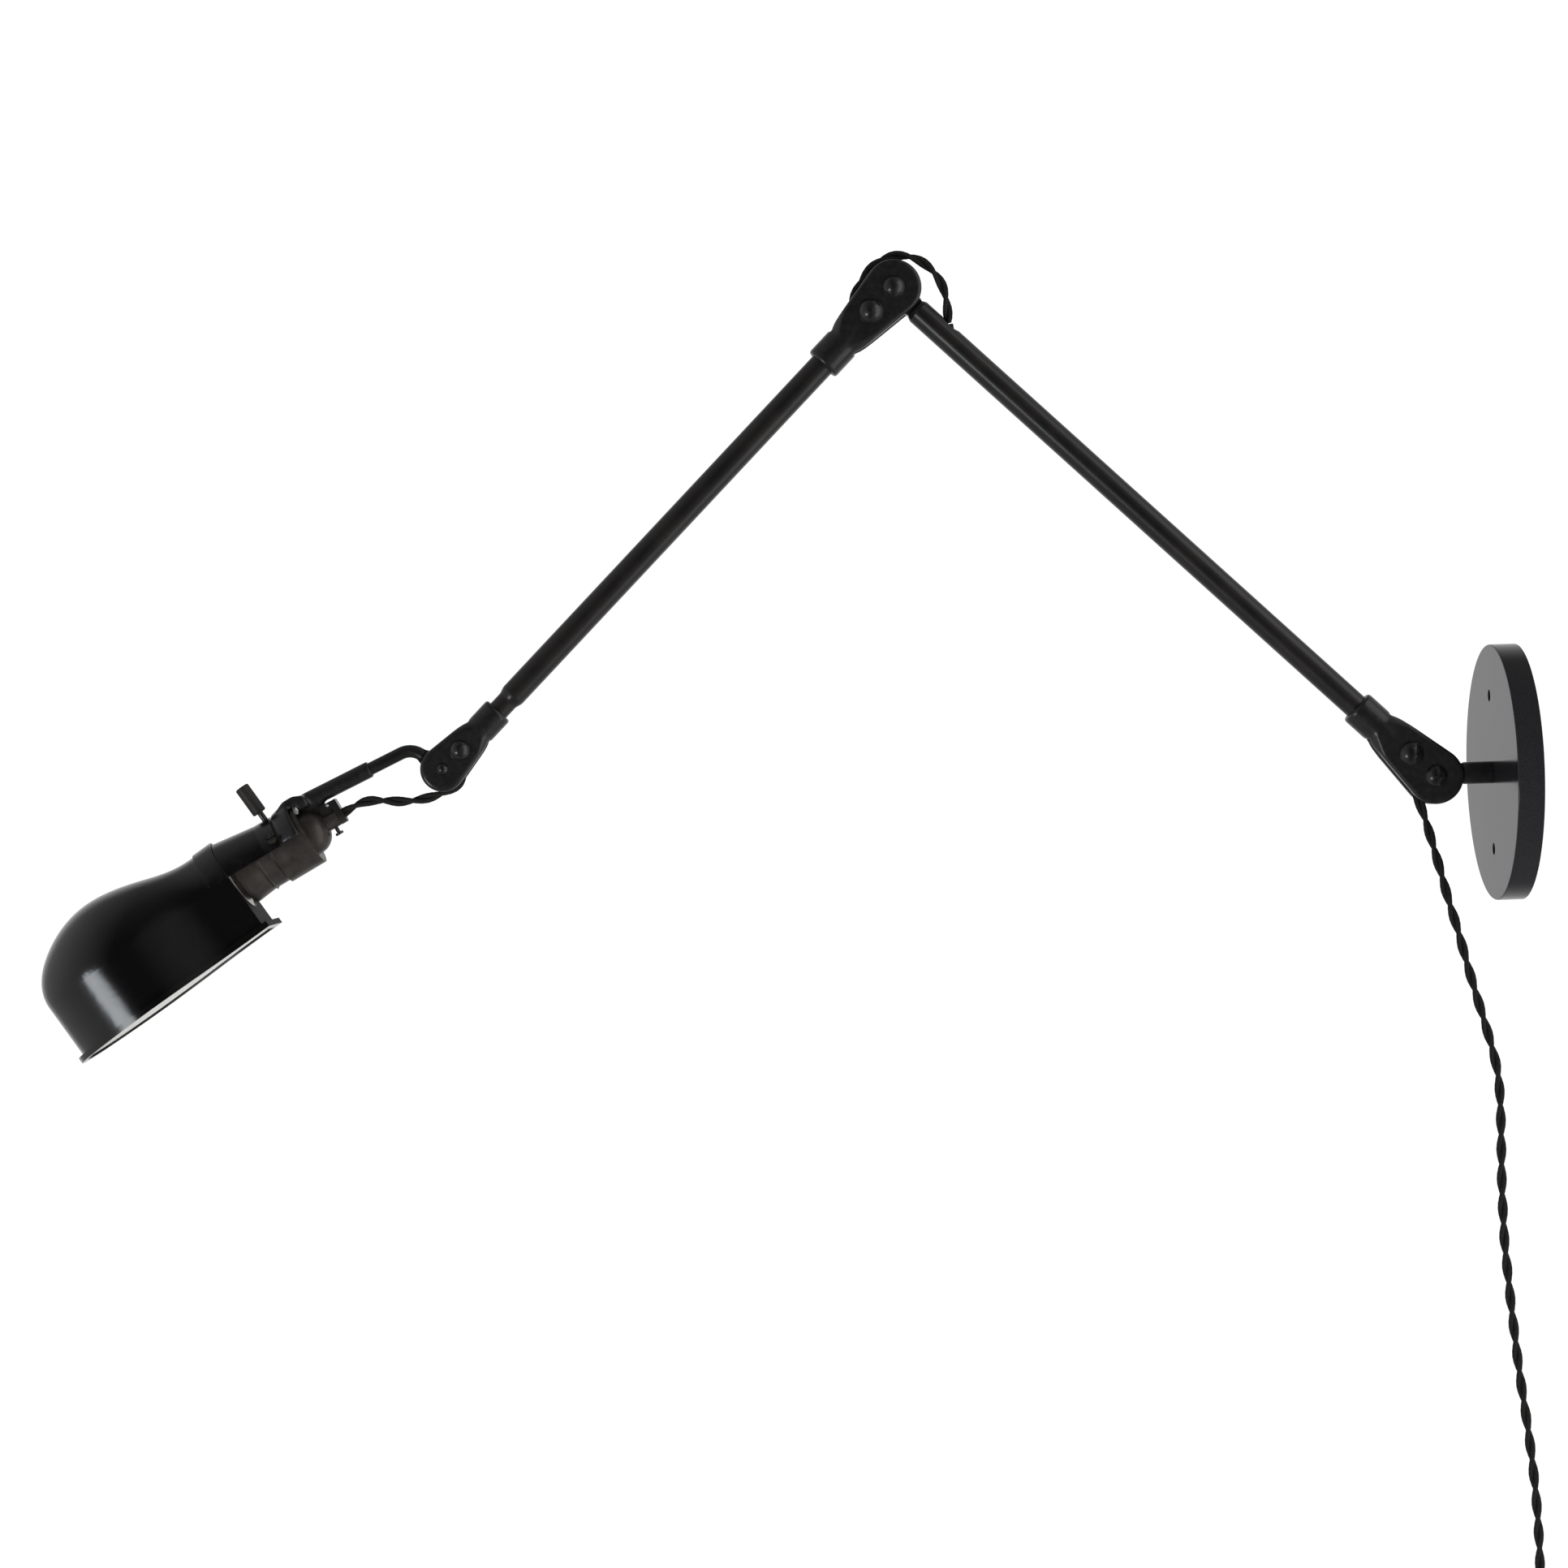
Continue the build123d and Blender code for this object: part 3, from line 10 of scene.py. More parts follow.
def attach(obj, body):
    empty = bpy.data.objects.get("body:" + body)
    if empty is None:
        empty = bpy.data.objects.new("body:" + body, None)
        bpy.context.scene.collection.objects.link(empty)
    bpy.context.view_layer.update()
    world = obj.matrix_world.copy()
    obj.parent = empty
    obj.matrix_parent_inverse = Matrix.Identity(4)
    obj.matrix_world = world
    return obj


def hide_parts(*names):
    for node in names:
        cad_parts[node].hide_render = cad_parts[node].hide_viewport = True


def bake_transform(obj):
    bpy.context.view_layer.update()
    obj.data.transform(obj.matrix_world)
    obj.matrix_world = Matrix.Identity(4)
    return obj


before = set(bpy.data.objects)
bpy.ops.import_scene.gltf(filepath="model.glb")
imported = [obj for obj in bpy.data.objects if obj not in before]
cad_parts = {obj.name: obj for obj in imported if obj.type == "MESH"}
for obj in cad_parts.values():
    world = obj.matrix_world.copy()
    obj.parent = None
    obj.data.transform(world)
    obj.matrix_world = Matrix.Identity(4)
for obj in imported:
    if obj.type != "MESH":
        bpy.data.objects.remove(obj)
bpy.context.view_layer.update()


# ---------------------------------------------------------------- wall plate
# A disc cut from half-inch steel and powder coated: a fine grained satin black that turns
# pale grey where the room grazes its face. Two empty screw holes stand above and below.
def fill(tree, node, inputs):
    """Sets a shader node's inputs to fixed values, or links them to patterns."""
    for place, value in inputs.items():
        if isinstance(value, Pattern):
            tree.links.new(value.socket, node.inputs[place])
        else:
            node.inputs[place].default_value = value


def add_node(tree, kind, settings, inputs):
    """A new shader node, whose settings are made before its inputs are filled."""
    node = tree.nodes.new(f"ShaderNode{kind}")
    for setting, value in settings.items():
        setattr(node, setting, value)
    fill(tree, node, inputs)
    return node


class Pattern:
    """A value in a shader, worked out at each point, that Python's sums and tests can use."""

    def __init__(self, tree, socket):
        self.tree = tree
        self.socket = socket

    def combine(self, operation, other, swap=False, clamp=False):
        """A sum of this number and another pattern or number, in that order unless swapped."""
        pair = (other, self) if swap else (self, other)
        settings = {"operation": operation, "use_clamp": clamp}
        return Pattern(self.tree, add_node(self.tree, "Math", settings, dict(enumerate(pair))).outputs[0])

    def __add__(self, other):
        return self.combine("ADD", other)

    def __sub__(self, other):
        return self.combine("SUBTRACT", other)

    def __rsub__(self, other):
        return self.combine("SUBTRACT", other, swap=True)

    def __mul__(self, other):
        return self.combine("MULTIPLY", other)

    def __lt__(self, other):
        return self.combine("LESS_THAN", other)

    def __gt__(self, other):
        return self.combine("GREATER_THAN", other)

    __radd__ = __add__
    __rmul__ = __mul__

    def held(self, low, high):
        """The number from low to high stretched to run from 0 to 1."""
        return (self - low).combine("MULTIPLY", 1 / (high - low), clamp=True)

    def vector(self, operation, other=(0, 0, 0)):
        """A vector sum of this vector and another pattern or fixed vector."""
        node = add_node(self.tree, "VectorMath", {"operation": operation}, {0: self, 1: other})
        return Pattern(self.tree, node.outputs["Value" if operation == "DOT_PRODUCT" else "Vector"])


class Finish:
    """A surface finish whose patterns lie in the piece's own metres, so they move with it."""

    bevel_samples = 6

    def __init__(self, name, metallic=0.0, coat=0.0, coat_roughness=0.1):
        self.material = bpy.data.materials.new(name)
        self.material.use_nodes = True
        self.tree = self.material.node_tree
        self.shader = self.tree.nodes["Principled BSDF"]
        self.coordinates = add_node(self.tree, "TexCoord", {}, {})
        self.feed({"Metallic": metallic, "Coat Weight": coat, "Coat Roughness": coat_roughness})

    def feed(self, inputs):
        """Sets or links inputs of the surface shader itself."""
        fill(self.tree, self.shader, inputs)
        return self

    def place(self, kind):
        """Where each point is, as Object or UV, or which way its surface faces, as Normal."""
        return Pattern(self.tree, self.coordinates.outputs[kind])

    def grain(self, size, detail=2.0, stretch=(1, 1, 1)):
        """Soft random patches about size metres across."""
        mapping = add_node(self.tree, "Mapping", {}, {"Vector": self.place("Object"), "Scale": stretch})
        point = Pattern(self.tree, mapping.outputs["Vector"])
        noise = add_node(self.tree, "TexNoise", {}, {"Vector": point, "Scale": 1 / size, "Detail": detail})
        return Pattern(self.tree, noise.outputs["Fac"])

    def mixed(self, amount, first, second):
        """A colour that runs from first to second with amount."""
        first, second = (shade if isinstance(shade, Pattern) else (*shade, 1) for shade in (first, second))
        mix = add_node(self.tree, "Mix", {"data_type": "RGBA"}, {"Factor": amount, "A": first, "B": second})
        return Pattern(self.tree, mix.outputs["Result"])

    def colour(self, amount, dark, light):
        """Base colour that runs from dark to light with amount."""
        return self.feed({"Base Color": self.mixed(amount, dark, light)})

    def rough(self, amount, low, high):
        """Roughness that runs from low to high with amount."""
        return self.feed({"Roughness": amount * (high - low) + low})

    def bumps(self, height, depth, soft_edge=0.0):
        """Surface relief of depth metres, on edges that look rounded by soft_edge metres."""
        inputs = {"Height": height, "Distance": depth}
        if soft_edge:
            rounded = add_node(self.tree, "Bevel", {"samples": self.bevel_samples}, {"Radius": soft_edge})
            inputs["Normal"] = Pattern(self.tree, rounded.outputs["Normal"])
        bump = add_node(self.tree, "Bump", {}, inputs)
        return self.feed({"Normal": Pattern(self.tree, bump.outputs["Normal"])})

    def on(self, *nodes):
        """Gives the finish to CAD nodes whose shape stays as it is."""
        for node in nodes:
            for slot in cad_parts[node].material_slots:
                slot.material = self.material


plate_coat = Finish("plate_powder_coat")
speckle = plate_coat.grain(size=0.0007, detail=3).held(0.35, 0.7)
plate_coat.colour(speckle, dark=(0.018, 0.0175, 0.0205), light=(0.028, 0.027, 0.031))
plate_coat.rough(plate_coat.grain(size=0.02, detail=4, stretch=(1, 1, 0.2)), low=0.08, high=0.18)
plate_coat.bumps(speckle, depth=0.00001)
plate_coat.on("wall_plate")

# ---------------------------------------------------------------- washers and stem nut
# Plain steel, zinc plated. A washer and nut hold the stem behind the plate, and a pair of
# friction washers sits in each joint.
zinc = Finish("zinc_plate", metallic=1.0)
zinc_spangle = zinc.grain(size=0.004, detail=5).held(0.3, 0.7)
zinc.colour(zinc_spangle, dark=(0.36, 0.36, 0.34), light=(0.55, 0.55, 0.53))
zinc.rough(zinc.grain(size=0.001, detail=3), low=0.3, high=0.5)
zinc.on("stem_washer", "stem_nut", "shoulder_washers", "elbow_washers", "wrist_washers")

# ---------------------------------------------------------------- stem, knuckles and yoke
# Iron, cast and forged, fettled by hand and sprayed gloss black. The castings keep the soft
# ripple of their moulds under the paint. The yoke has a thin web where it meets the hanger.
casting_grid = 0.0006
merge_distance = 0.000001
fettling_strength = 0.5
knuckle_passes = 14
yoke_passes = 24
web_thickness = 0.005
web_outline = [(-0.6055, 0.0010), (-0.5926, 0.0042), (-0.5926, 0.0002), (-0.5873, 0.0004),
               (-0.5877, -0.0026), (-0.5950, -0.0047), (-0.6056, -0.0032)]

casting_paint = Finish("casting_black_enamel", coat=0.6, coat_roughness=0.12)
wear = casting_paint.grain(size=0.003, detail=6).held(0.4, 0.75)
ripple = casting_paint.grain(size=0.006, detail=3)
casting_paint.colour(wear, dark=(0.009, 0.009, 0.01), light=(0.017, 0.0165, 0.017))
casting_paint.rough(casting_paint.grain(size=0.01, detail=5), low=0.25, high=0.45)
casting_paint.bumps(ripple, depth=0.0002, soft_edge=0.0016)
casting_paint.on("wall_stem")


def soft_casting(node, passes, web=()):
    """The casting of a CAD node with its edges rounded off, and with a thin web grown on it."""
    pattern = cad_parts[node]
    work = bmesh.new()
    work.from_mesh(pattern.data)
    work.transform(pattern.matrix_world)
    bmesh.ops.remove_doubles(work, verts=work.verts[:], dist=merge_distance)
    if web:
        sheet = work.faces.new([work.verts.new((x, -web_thickness / 2, z)) for x, z in web])
        grown = bmesh.ops.extrude_face_region(work, geom=[sheet])["geom"]
        far_side = [part for part in grown if isinstance(part, bmesh.types.BMVert)]
        bmesh.ops.translate(work, verts=far_side, vec=(0, web_thickness, 0))
        bmesh.ops.recalc_face_normals(work, faces=work.faces[:])
    rough_mesh = bpy.data.meshes.new(f"{node}_rough")
    work.to_mesh(rough_mesh)
    work.free()
    rough_casting = bpy.data.objects.new(f"{node}_rough", rough_mesh)
    bpy.context.scene.collection.objects.link(rough_casting)
    grid = rough_casting.modifiers.new("grid", "REMESH")
    grid.mode = "VOXEL"
    grid.voxel_size = casting_grid
    fettle = rough_casting.modifiers.new("fettle", "SMOOTH")
    fettle.factor = fettling_strength
    fettle.iterations = passes
    ready = rough_casting.evaluated_get(bpy.context.evaluated_depsgraph_get())
    mesh = bpy.data.meshes.new_from_object(ready)
    bpy.data.objects.remove(rough_casting)
    bpy.data.meshes.remove(rough_mesh)
    mesh.polygons.foreach_set("use_smooth", [True] * len(mesh.polygons))
    mesh.materials.clear()
    mesh.materials.append(casting_paint.material)
    casting = bpy.data.objects.new(f"{node}_casting", mesh)
    bpy.context.scene.collection.objects.link(casting)
    return casting


castings = {"shoulder_knuckle": "rear_arm", "elbow_knuckle": "front_arm",
            "wrist_knuckle": "wrist_fork", "head_yoke": "head"}
for node, body in castings.items():
    if node == "head_yoke":
        casting = soft_casting(node, yoke_passes, web_outline)
    else:
        casting = soft_casting(node, knuckle_passes)
    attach(casting, body)
    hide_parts(node)

# ---------------------------------------------------------------- arm tubes and rods
# Half-inch steel tube with turned ends plugged into it, and the bent rod and hanger of the
# head. The same black enamel lies smoother here, and a little brown where it is thin.
tube_paint = Finish("tube_black_enamel", coat=0.5, coat_roughness=0.18)
thin_paint = tube_paint.grain(size=0.015, detail=6).held(0.35, 0.75)
tube_paint.colour(thin_paint, dark=(0.008, 0.0075, 0.0075), light=(0.018, 0.015, 0.014))
tube_paint.rough(tube_paint.grain(size=0.012, detail=6), low=0.26, high=0.42)
tube_paint.bumps(tube_paint.grain(size=0.008), depth=0.00003)
tube_paint.on("rear_tube", "elbow_tongue", "front_tube", "arm_end_neck", "head_rod", "socket_hanger")

# ---------------------------------------------------------------- joint bolts and screws
# Steel bolts with low domed heads and domed nuts: in each joint one to turn on and one to
# tighten the fork, painted over with the gloss black of the arms.
bolt_paint = Finish("bolt_gloss_black", coat=0.8, coat_roughness=0.12)
rubbed_paint = bolt_paint.grain(size=0.002, detail=4).held(0.4, 0.7)
bolt_paint.colour(rubbed_paint, dark=(0.006, 0.006, 0.006), light=(0.02, 0.019, 0.018))
bolt_paint.rough(bolt_paint.grain(size=0.003, detail=4), low=0.24, high=0.34)
for joint in ("shoulder", "elbow", "wrist"):
    for fastener in ("pivot_bolt", "pivot_nut", "tension_screw", "tension_nut"):
        bolt_paint.on(f"{joint}_{fastener}")

# ---------------------------------------------------------------- socket shell and cap
# Thin brass, spun and pressed, then darkened to a brown black and rubbed paler on its rims.
# The bulb's screw base gets the same dark brass as painted shade, for the shadowed gap behind the hood.
dark_brass = Finish("dark_patina_brass_and_painted_shade", metallic=0.6)
rubbed = dark_brass.grain(size=0.006, detail=5).held(0.35, 0.75)
dark_brass.colour(rubbed, dark=(0.06, 0.053, 0.047), light=(0.1, 0.09, 0.08))
dark_brass.rough(dark_brass.grain(size=0.008, detail=4), low=0.26, high=0.36)
dark_brass.bumps(rubbed, depth=0.00003, soft_edge=0.0005)
# On the bulb base this dark colour is painted shade, for the gap between the hood and the socket.
dark_brass.on("socket_cap", "socket_shell", "bulb_base")

# ---------------------------------------------------------------- key, set screws and stops
# The switch key has a plain round grip of darkened brass on a steel stem. The small screws
# are bare steel, worn dark by handling.
key_brass = Finish("key_patina_brass", metallic=0.3)
handled = key_brass.grain(size=0.002, detail=6)
key_brass.colour(handled, dark=(0.026, 0.022, 0.02), light=(0.045, 0.04, 0.035))
key_brass.rough(key_brass.grain(size=0.004, detail=4), low=0.42, high=0.55)
key_brass.on("key_grip")

worn_steel = Finish("worn_steel", metallic=0.9)
bare_spots = worn_steel.grain(size=0.001, detail=6).held(0.4, 0.7)
worn_steel.colour(bare_spots, dark=(0.05, 0.047, 0.044), light=(0.22, 0.21, 0.2))
worn_steel.rough(worn_steel.grain(size=0.0016, detail=5), low=0.28, high=0.5)
worn_steel.on("neck_set_screw", "carrier_screws", "swivel_stop_screw", "key_stem")

# ---------------------------------------------------------------- inside of the socket
# A threaded brass shell, contact and terminal screws on a glazed porcelain body, kept from
# the outer shell by a rolled fibre liner. The plug's blades are the same bright brass.
bright_brass = Finish("bright_brass", metallic=1.0)
tarnish = bright_brass.grain(size=0.003, detail=5)
bright_brass.colour(tarnish, dark=(0.5, 0.35, 0.14), light=(0.72, 0.54, 0.27))
bright_brass.rough(bright_brass.grain(size=0.002, detail=4), low=0.2, high=0.38)
bright_brass.on("screw_shell", "centre_contact", "terminal_screws", "plug_blades")

porcelain = Finish("porcelain", coat=0.7, coat_roughness=0.05)
glaze = porcelain.grain(size=0.006, detail=3)
porcelain.colour(glaze, dark=(0.72, 0.7, 0.64), light=(0.82, 0.8, 0.75))
porcelain.rough(porcelain.grain(size=0.003, detail=3), low=0.18, high=0.3)
porcelain.on("socket_interior")

fibre = Finish("liner_fibre")
fibre_strands = fibre.grain(size=0.0008, detail=5, stretch=(1, 4, 1))
fibre.colour(fibre_strands, dark=(0.2, 0.15, 0.1), light=(0.36, 0.28, 0.2))
fibre.rough(fibre.grain(size=0.001, detail=4), low=0.7, high=0.9)
fibre.on("shell_liner")

# ---------------------------------------------------------------- hood
# A hood pressed from thin steel, with a narrow bead round its open side: gloss black enamel
# outside with a few specks in it, and white enamel inside.
hood_tilt = radians(34.1)
hood_from = Vector((-0.63857, 0, -0.03191))
hood_along = Vector((-cos(hood_tilt), 0, -sin(hood_tilt)))
hood_down = Vector((sin(hood_tilt), 0, -cos(hood_tilt)))
hood_rear = 0.03
hood_reach = 0.07
white_depth = 0.0303
inner_facing = -0.3
bead_facing = -0.5
rear_facing = -0.7
outer_dullness = 0.12
rear_dullness = 0.5

hood_enamel = Finish("hood_enamel", coat_roughness=0.16)
normal = hood_enamel.place("Normal")
from_rear = hood_enamel.place("Object").vector("SUBTRACT", hood_from)
along = from_rear.vector("DOT_PRODUCT", hood_along)
held_along = along.combine("MINIMUM", hood_reach).combine("MAXIMUM", hood_rear)
scaled = {0: hood_along, "Scale": held_along}
on_axis = add_node(hood_enamel.tree, "VectorMath", {"operation": "SCALE"}, scaled)
near_axis = Pattern(hood_enamel.tree, on_axis.outputs["Vector"])
outward = from_rear.vector("SUBTRACT", near_axis).vector("NORMALIZE")
facing_out = normal.vector("DOT_PRODUCT", outward)
facing_down = normal.vector("DOT_PRODUCT", hood_down)
depth_below = from_rear.vector("DOT_PRODUCT", hood_down)
inside = (facing_out < inner_facing) * (facing_down > bead_facing) * (depth_below < white_depth)
rear_wall = normal.vector("DOT_PRODUCT", hood_along) < rear_facing

specks = hood_enamel.grain(size=0.0008, detail=4).held(0.66, 0.78)
black_outside = hood_enamel.mixed(specks, (0.0028, 0.0025, 0.0029), (0.02, 0.017, 0.015))
hood_enamel.colour(inside, dark=black_outside, light=(0.9, 0.89, 0.87))
gloss = hood_enamel.grain(size=0.01, detail=6) * outer_dullness + outer_dullness
hood_enamel.feed({"Roughness": gloss + rear_wall * rear_dullness, "Coat Weight": 1 - rear_wall})
hood_enamel.bumps(hood_enamel.grain(size=0.012), depth=0.00025)
hood_enamel.on("shade")

# ---------------------------------------------------------------- shade carrier
# A half tube bent from black enamelled sheet, which ends in a half band round the hood's
# neck. Two small screws through the yoke's lugs hold it.
sheet_enamel = Finish("sheet_black_enamel", coat=0.9, coat_roughness=0.16)
thin_enamel = sheet_enamel.grain(size=0.004, detail=5).held(0.5, 0.8)
sheet_enamel.colour(thin_enamel, dark=(0.003, 0.0028, 0.003), light=(0.009, 0.008, 0.0075))
sheet_enamel.rough(sheet_enamel.grain(size=0.01, detail=5), low=0.16, high=0.26)
sheet_enamel.bumps(sheet_enamel.grain(size=0.012), depth=0.0001, soft_edge=0.0006)
sheet_enamel.on("shade_carrier")

# ---------------------------------------------------------------- bulb
# A short tubular lamp, blown in glass and frosted inside, that screws into the socket and
# lies under the hood.
frosted = Finish("frosted_glass", coat=0.6, coat_roughness=0.05)
frost = frosted.grain(size=0.01, detail=3)
frosted.colour(frost, dark=(0.74, 0.73, 0.69), light=(0.82, 0.81, 0.78))
frosted.rough(frosted.grain(size=0.002, detail=3), low=0.3, high=0.42)
frosted.on("bulb_glass")

# ---------------------------------------------------------------- cord
# Two wires, each in black woven cloth, twisted about each other. The lead runs inside both
# arms and shows at the elbow, under the wrist and below the shoulder.
cord_width = 0.005
half_twist = 0.0146
strand_radius = cord_width / 4
ring_sides = 10
curve_steps = 10
weave_step = 0.00055

cloth = Finish("black_woven_cloth")
around_strand = add_node(cloth.tree, "SeparateXYZ", {}, {0: cloth.place("UV")})
run = Pattern(cloth.tree, around_strand.outputs["X"])
turn = Pattern(cloth.tree, around_strand.outputs["Y"])
one_way = ((run + turn) * (2 * pi / weave_step)).combine("SINE", 0)
other_way = ((run - turn) * (2 * pi / weave_step)).combine("SINE", 0)
weave = one_way.combine("MAXIMUM", other_way).held(-0.4, 1.0)
cloth.colour(weave, dark=(0.006, 0.006, 0.006), light=(0.03, 0.03, 0.028))
cloth.rough(weave, low=0.95, high=0.75)
cloth.bumps(weave, depth=0.0002)
cloth.on("rear_arm_cord", "front_arm_cord")


def smooth_line(name, points):
    """Points along a smooth spline through the cord's route."""
    curve = bpy.data.curves.new(name, "CURVE")
    curve.dimensions = "3D"
    curve.resolution_u = curve_steps
    spline = curve.splines.new("NURBS")
    spline.points.add(len(points) - 1)
    for place, point in zip(spline.points, points):
        place.co = (*point, 1)
    spline.order_u = 3
    spline.use_endpoint_u = True
    carrier = bpy.data.objects.new(name, curve)
    bpy.context.scene.collection.objects.link(carrier)
    bpy.context.view_layer.update()
    mesh = bpy.data.meshes.new_from_object(carrier)
    line = [vertex.co.copy() for vertex in mesh.vertices]
    bpy.data.objects.remove(carrier)
    bpy.data.curves.remove(curve)
    bpy.data.meshes.remove(mesh)
    return line


def strand_rings(work, line, first_turn):
    """Two lists of rings round the line, each ring with how far along the cord it is."""
    side = (line[1] - line[0]).orthogonal().normalized()
    gone = 0.0
    rings = [[], []]
    for index, point in enumerate(line):
        ahead = (line[min(index + 1, len(line) - 1)] - line[max(index - 1, 0)]).normalized()
        side = (side - ahead * side.dot(ahead)).normalized()
        across = ahead.cross(side)
        if index:
            gone += (point - line[index - 1]).length
        phase = first_turn + pi * gone / half_twist
        for strand, start in zip(rings, (0, pi)):
            out = side * cos(phase + start) + across * sin(phase + start)
            middle = point + out * strand_radius
            ring = []
            for step in range(ring_sides):
                angle = 2 * pi * step / ring_sides
                spoke = out * cos(angle) + ahead.cross(out) * sin(angle)
                ring.append(work.verts.new(middle + spoke * strand_radius))
            strand.append((gone, ring))
    return rings


def twisted_pair(name, line, first_turn):
    """Two round cloth strands wound about the line, a half twist every half_twist metres."""
    work = bmesh.new()
    uv = work.loops.layers.uv.new("weave")
    side_width = 2 * pi * strand_radius / ring_sides
    for strand in strand_rings(work, line, first_turn):
        for (back, first), (front, second) in zip(strand, strand[1:]):
            for step in range(ring_sides):
                after = (step + 1) % ring_sides
                face = work.faces.new((first[step], first[after], second[after], second[step]))
                face.smooth = True
                corners = ((back, step), (back, step + 1), (front, step + 1), (front, step))
                for loop, (reach, count) in zip(face.loops, corners):
                    loop[uv].uv = (reach, count * side_width)
        work.faces.new(list(reversed(strand[0][1])))
        work.faces.new(strand[-1][1])
    mesh = bpy.data.meshes.new(name)
    work.to_mesh(mesh)
    work.free()
    mesh.materials.append(cloth.material)
    piece = bpy.data.objects.new(name, mesh)
    bpy.context.scene.collection.objects.link(piece)
    return piece


# The lead leaves the rear arm at the shoulder and hangs down in front of the wall.
hanging_route = [
    (-0.06839, 0, 0.02463), (-0.0623, 0, 0.015), (-0.0592, 0, 0.0049), (-0.0542, 0, -0.0049),
    (-0.0498, 0, -0.0116), (-0.0468, 0, -0.0201), (-0.0431, 0, -0.0344), (-0.0394, -0.0006, -0.049),
    (-0.0362, -0.0012, -0.0632), (-0.0321, -0.0018, -0.0778), (-0.0288, -0.0024, -0.0924),
    (-0.0252, -0.0030, -0.1067), (-0.0214, -0.0037, -0.1211), (-0.0179, -0.0042, -0.1347),
    (-0.0149, -0.0048, -0.149), (-0.0145, -0.0055, -0.1634), (-0.0147, -0.0060, -0.177),
    (-0.0151, -0.0066, -0.191), (-0.0155, -0.0073, -0.2058), (-0.0154, -0.0078, -0.219),
    (-0.0153, -0.0085, -0.2334), (-0.0142, -0.0091, -0.2482), (-0.0133, -0.0097, -0.2629),
    (-0.0121, -0.0103, -0.2775), (-0.0109, -0.0110, -0.2921), (-0.0094, -0.0116, -0.3069),
    (-0.0075, -0.0120, -0.3221), (-0.006, -0.0122, -0.3373), (-0.0047, -0.0122, -0.353),
    (-0.0039, -0.0124, -0.3684), (-0.0036, -0.0126, -0.383), (-0.0037, -0.0127, -0.3978),
    (-0.0039, -0.0124, -0.4126), (-0.004, -0.0120, -0.4283), (-0.004, -0.0120, -0.444)]

# The spare length is wound in two flat layers against the wall, each turn a cord's width
# and a little more from the next, and ends in a straight lead down to the plug.
coil_pitch = 0.0056
coil_height = -0.449
coil_outer = 0.0364
coil_turns = 7
half_turn_points = 9
lead_drops = (0, 0.005, 0.018, 0.031)
growth = coil_pitch / 2
radii = [coil_outer - growth * count for count in range(coil_turns + 1)]
radii += [radii[-1] + growth * (count + 1) for count in range(coil_turns + 1)]
coil_depth = -0.0040
coil_side = -0.0120
turning = 1
coil_route = []
for count, radius in enumerate(radii):
    middle = coil_side + turning * radius
    crossing = coil_pitch if count == coil_turns else 0
    for step in range(half_turn_points):
        angle = pi * step / half_turn_points
        coil_route.append((coil_depth - crossing * (1 - cos(angle)) / 2,
                           middle - turning * radius * cos(angle),
                           coil_height - turning * radius * sin(angle)))
    coil_depth -= crossing
    coil_side += turning * 2 * radius
    turning = -turning
lead_route = [(coil_depth, coil_side, coil_height - drop) for drop in lead_drops]

lead_line = smooth_line("lead_route", hanging_route + coil_route + lead_route)
lead_cord = twisted_pair("lead_cord", lead_line, first_turn=0.6)
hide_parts("hanging_cord", "cord_coil", "plug_lead")
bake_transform(lead_cord)

# At the elbow the cord loops over the joint, from the end of one arm into the next.
elbow_route = [
    (-0.27556, 0, 0.23156), (-0.275, 0, 0.2439), (-0.2813, 0, 0.2581), (-0.2938, 0, 0.2664),
    (-0.3084, 0, 0.2649), (-0.3183, 0, 0.2536), (-0.3218, 0, 0.2458), (-0.3235, 0, 0.2366),
    (-0.3253, 0, 0.2292), (-0.32838, 0, 0.22303)]
elbow_line = smooth_line("elbow_route", elbow_route)
elbow_cord = twisted_pair("elbow_pair", elbow_line, first_turn=1.2)
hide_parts("elbow_cord")
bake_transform(elbow_cord)

# Under the wrist it sags from the wrist knuckle to the neck of the socket's cap.
wrist_route = [
    (-0.51451, 0, 0.0363), (-0.5172, 0, 0.0316), (-0.519, 0, 0.0236), (-0.522, 0, 0.0156),
    (-0.5252, 0, 0.0101), (-0.5314, 0, 0.0069), (-0.5388, 0, 0.0042), (-0.5465, 0, 0.0029),
    (-0.5538, 0, 0.0023), (-0.561, 0, 0.0031), (-0.5692, 0, 0.0036), (-0.577, 0, 0.0018),
    (-0.58447, 0, -0.00311)]
wrist_line = smooth_line("wrist_route", wrist_route)
wrist_cord = twisted_pair("wrist_pair", wrist_line, first_turn=0.3)
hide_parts("wrist_cord")
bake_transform(wrist_cord)

# ---------------------------------------------------------------- plug and coil tie
# A moulded black plug with two flat brass blades, and a soft black band round the coil.
moulded = Finish("moulded_black", coat=0.4, coat_roughness=0.15)
scuffs = moulded.grain(size=0.002, detail=4).held(0.4, 0.7)
moulded.colour(scuffs, dark=(0.008, 0.008, 0.008), light=(0.02, 0.019, 0.018))
moulded.rough(moulded.grain(size=0.003, detail=4), low=0.3, high=0.45)
moulded.on("plug_body", "coil_tie")

# ---------------------------------------------------------------- room
# A white sweep behind the lamp. The room in front of it is darkest behind the camera and
# grows paler to both sides, which the gloss black pieces mirror.
backdrop_white = 1.05
sweep_glow = 0.52
beside_glow = 0.1
left_glow = 0.26
right_glow = 0.3
least_glow = 0.02

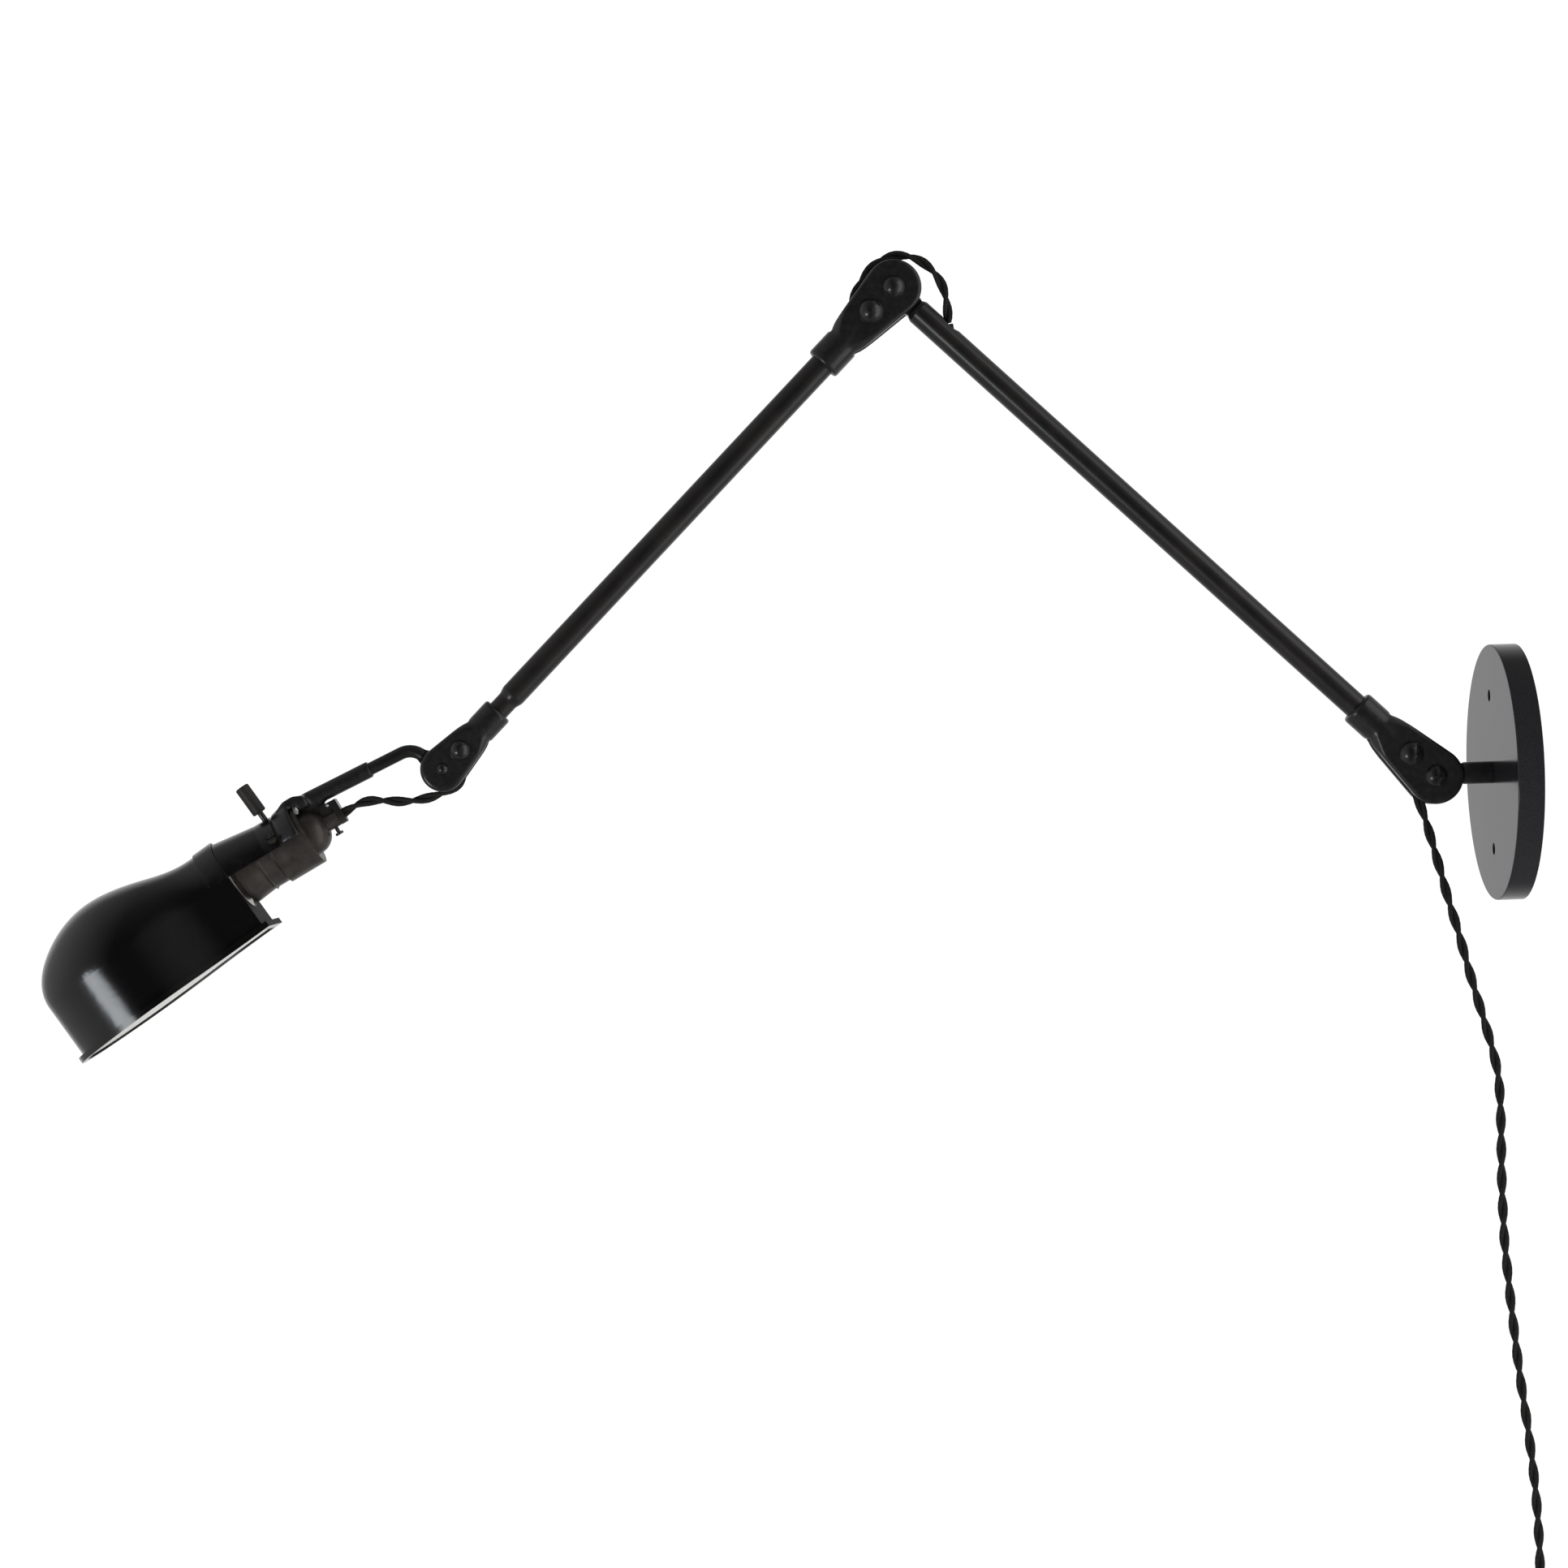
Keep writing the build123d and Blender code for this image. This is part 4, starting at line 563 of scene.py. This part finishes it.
bpy.context.scene.view_settings.view_transform = "Standard"
world = bpy.data.worlds.new("studio")
bpy.context.scene.world = world
world.use_nodes = True
sky = world.node_tree
looking = Pattern(sky, add_node(sky, "TexCoord", {}, {}).outputs["Generated"])
parts = add_node(sky, "SeparateXYZ", {}, {0: looking})
sideways = Pattern(sky, parts.outputs["X"])
depthwise = Pattern(sky, parts.outputs["Y"])
seen_directly = Pattern(sky, add_node(sky, "LightPath", {}, {}).outputs["Is Camera Ray"])
room_light = depthwise.held(0.5, 0.97) * sweep_glow + depthwise.held(-0.95, -0.1) * beside_glow
room_light += (sideways * -1).held(0.25, 1) * left_glow + sideways.held(0.1, 0.9) * right_glow
room_light = (room_light + least_glow).combine("MAXIMUM", seen_directly * backdrop_white)
fill(sky, sky.nodes["Background"], {"Strength": room_light, "Color": (1, 1, 1, 1)})

# ---------------------------------------------------------------- camera
# A long lens about 1.7 m in front of the lamp, level with the shoulder and rolled by under
# two degrees.
camera_place = (-0.36412, -1.726, 0.00519)
camera_roll = radians(1.8)
camera_angle = radians(25.43)

camera_data = bpy.data.cameras.new("camera")
camera_data.angle = camera_angle
camera = bpy.data.objects.new("camera", camera_data)
bpy.context.scene.collection.objects.link(camera)
bpy.context.scene.camera = camera
right = Vector((cos(camera_roll), 0, -sin(camera_roll)))
up = Vector((sin(camera_roll), 0, cos(camera_roll)))
back = Vector((0, -1, 0))
view_matrix = Matrix((right, up, back)).transposed().to_4x4()
view_matrix.translation = camera_place
camera.matrix_world = view_matrix


# ---------------------------------------------------------------- lights
# Three soft panels: a small one low on the left for the patch on the hood, a tall one on
# the right for the long highlights on the tubes, and a fill that makes no highlight.
def panel(name, place, aim, width, height, watts, colour=(1, 1, 1), shine=True):
    """Soft rectangular light at place, facing aim, mirrored in glossy surfaces if it may shine."""
    data = bpy.data.lights.new(name, "AREA")
    data.shape = "RECTANGLE"
    data.size = width
    data.size_y = height
    data.energy = watts
    data.color = colour
    lamp = bpy.data.objects.new(name, data)
    lamp.visible_glossy = shine
    bpy.context.scene.collection.objects.link(lamp)
    lamp.location = place
    lamp.rotation_euler = (Vector(aim) - Vector(place)).to_track_quat("-Z", "Y").to_euler()


panel("low_panel", place=(-1.78, -1.57, -0.84), aim=(-0.5, 0, -0.05), width=0.72, height=0.62,
      watts=6.5, colour=(0.9, 0.96, 1))
panel("side_panel", place=(1.3, -0.85, 0.1), aim=(-0.3, 0, 0), width=1.4, height=3.6,
      watts=9)
panel("fill_panel", place=(-0.3, -1.9, -1.2), aim=(-0.5, 0, 0), width=1.8, height=1.8,
      watts=34, shine=False)
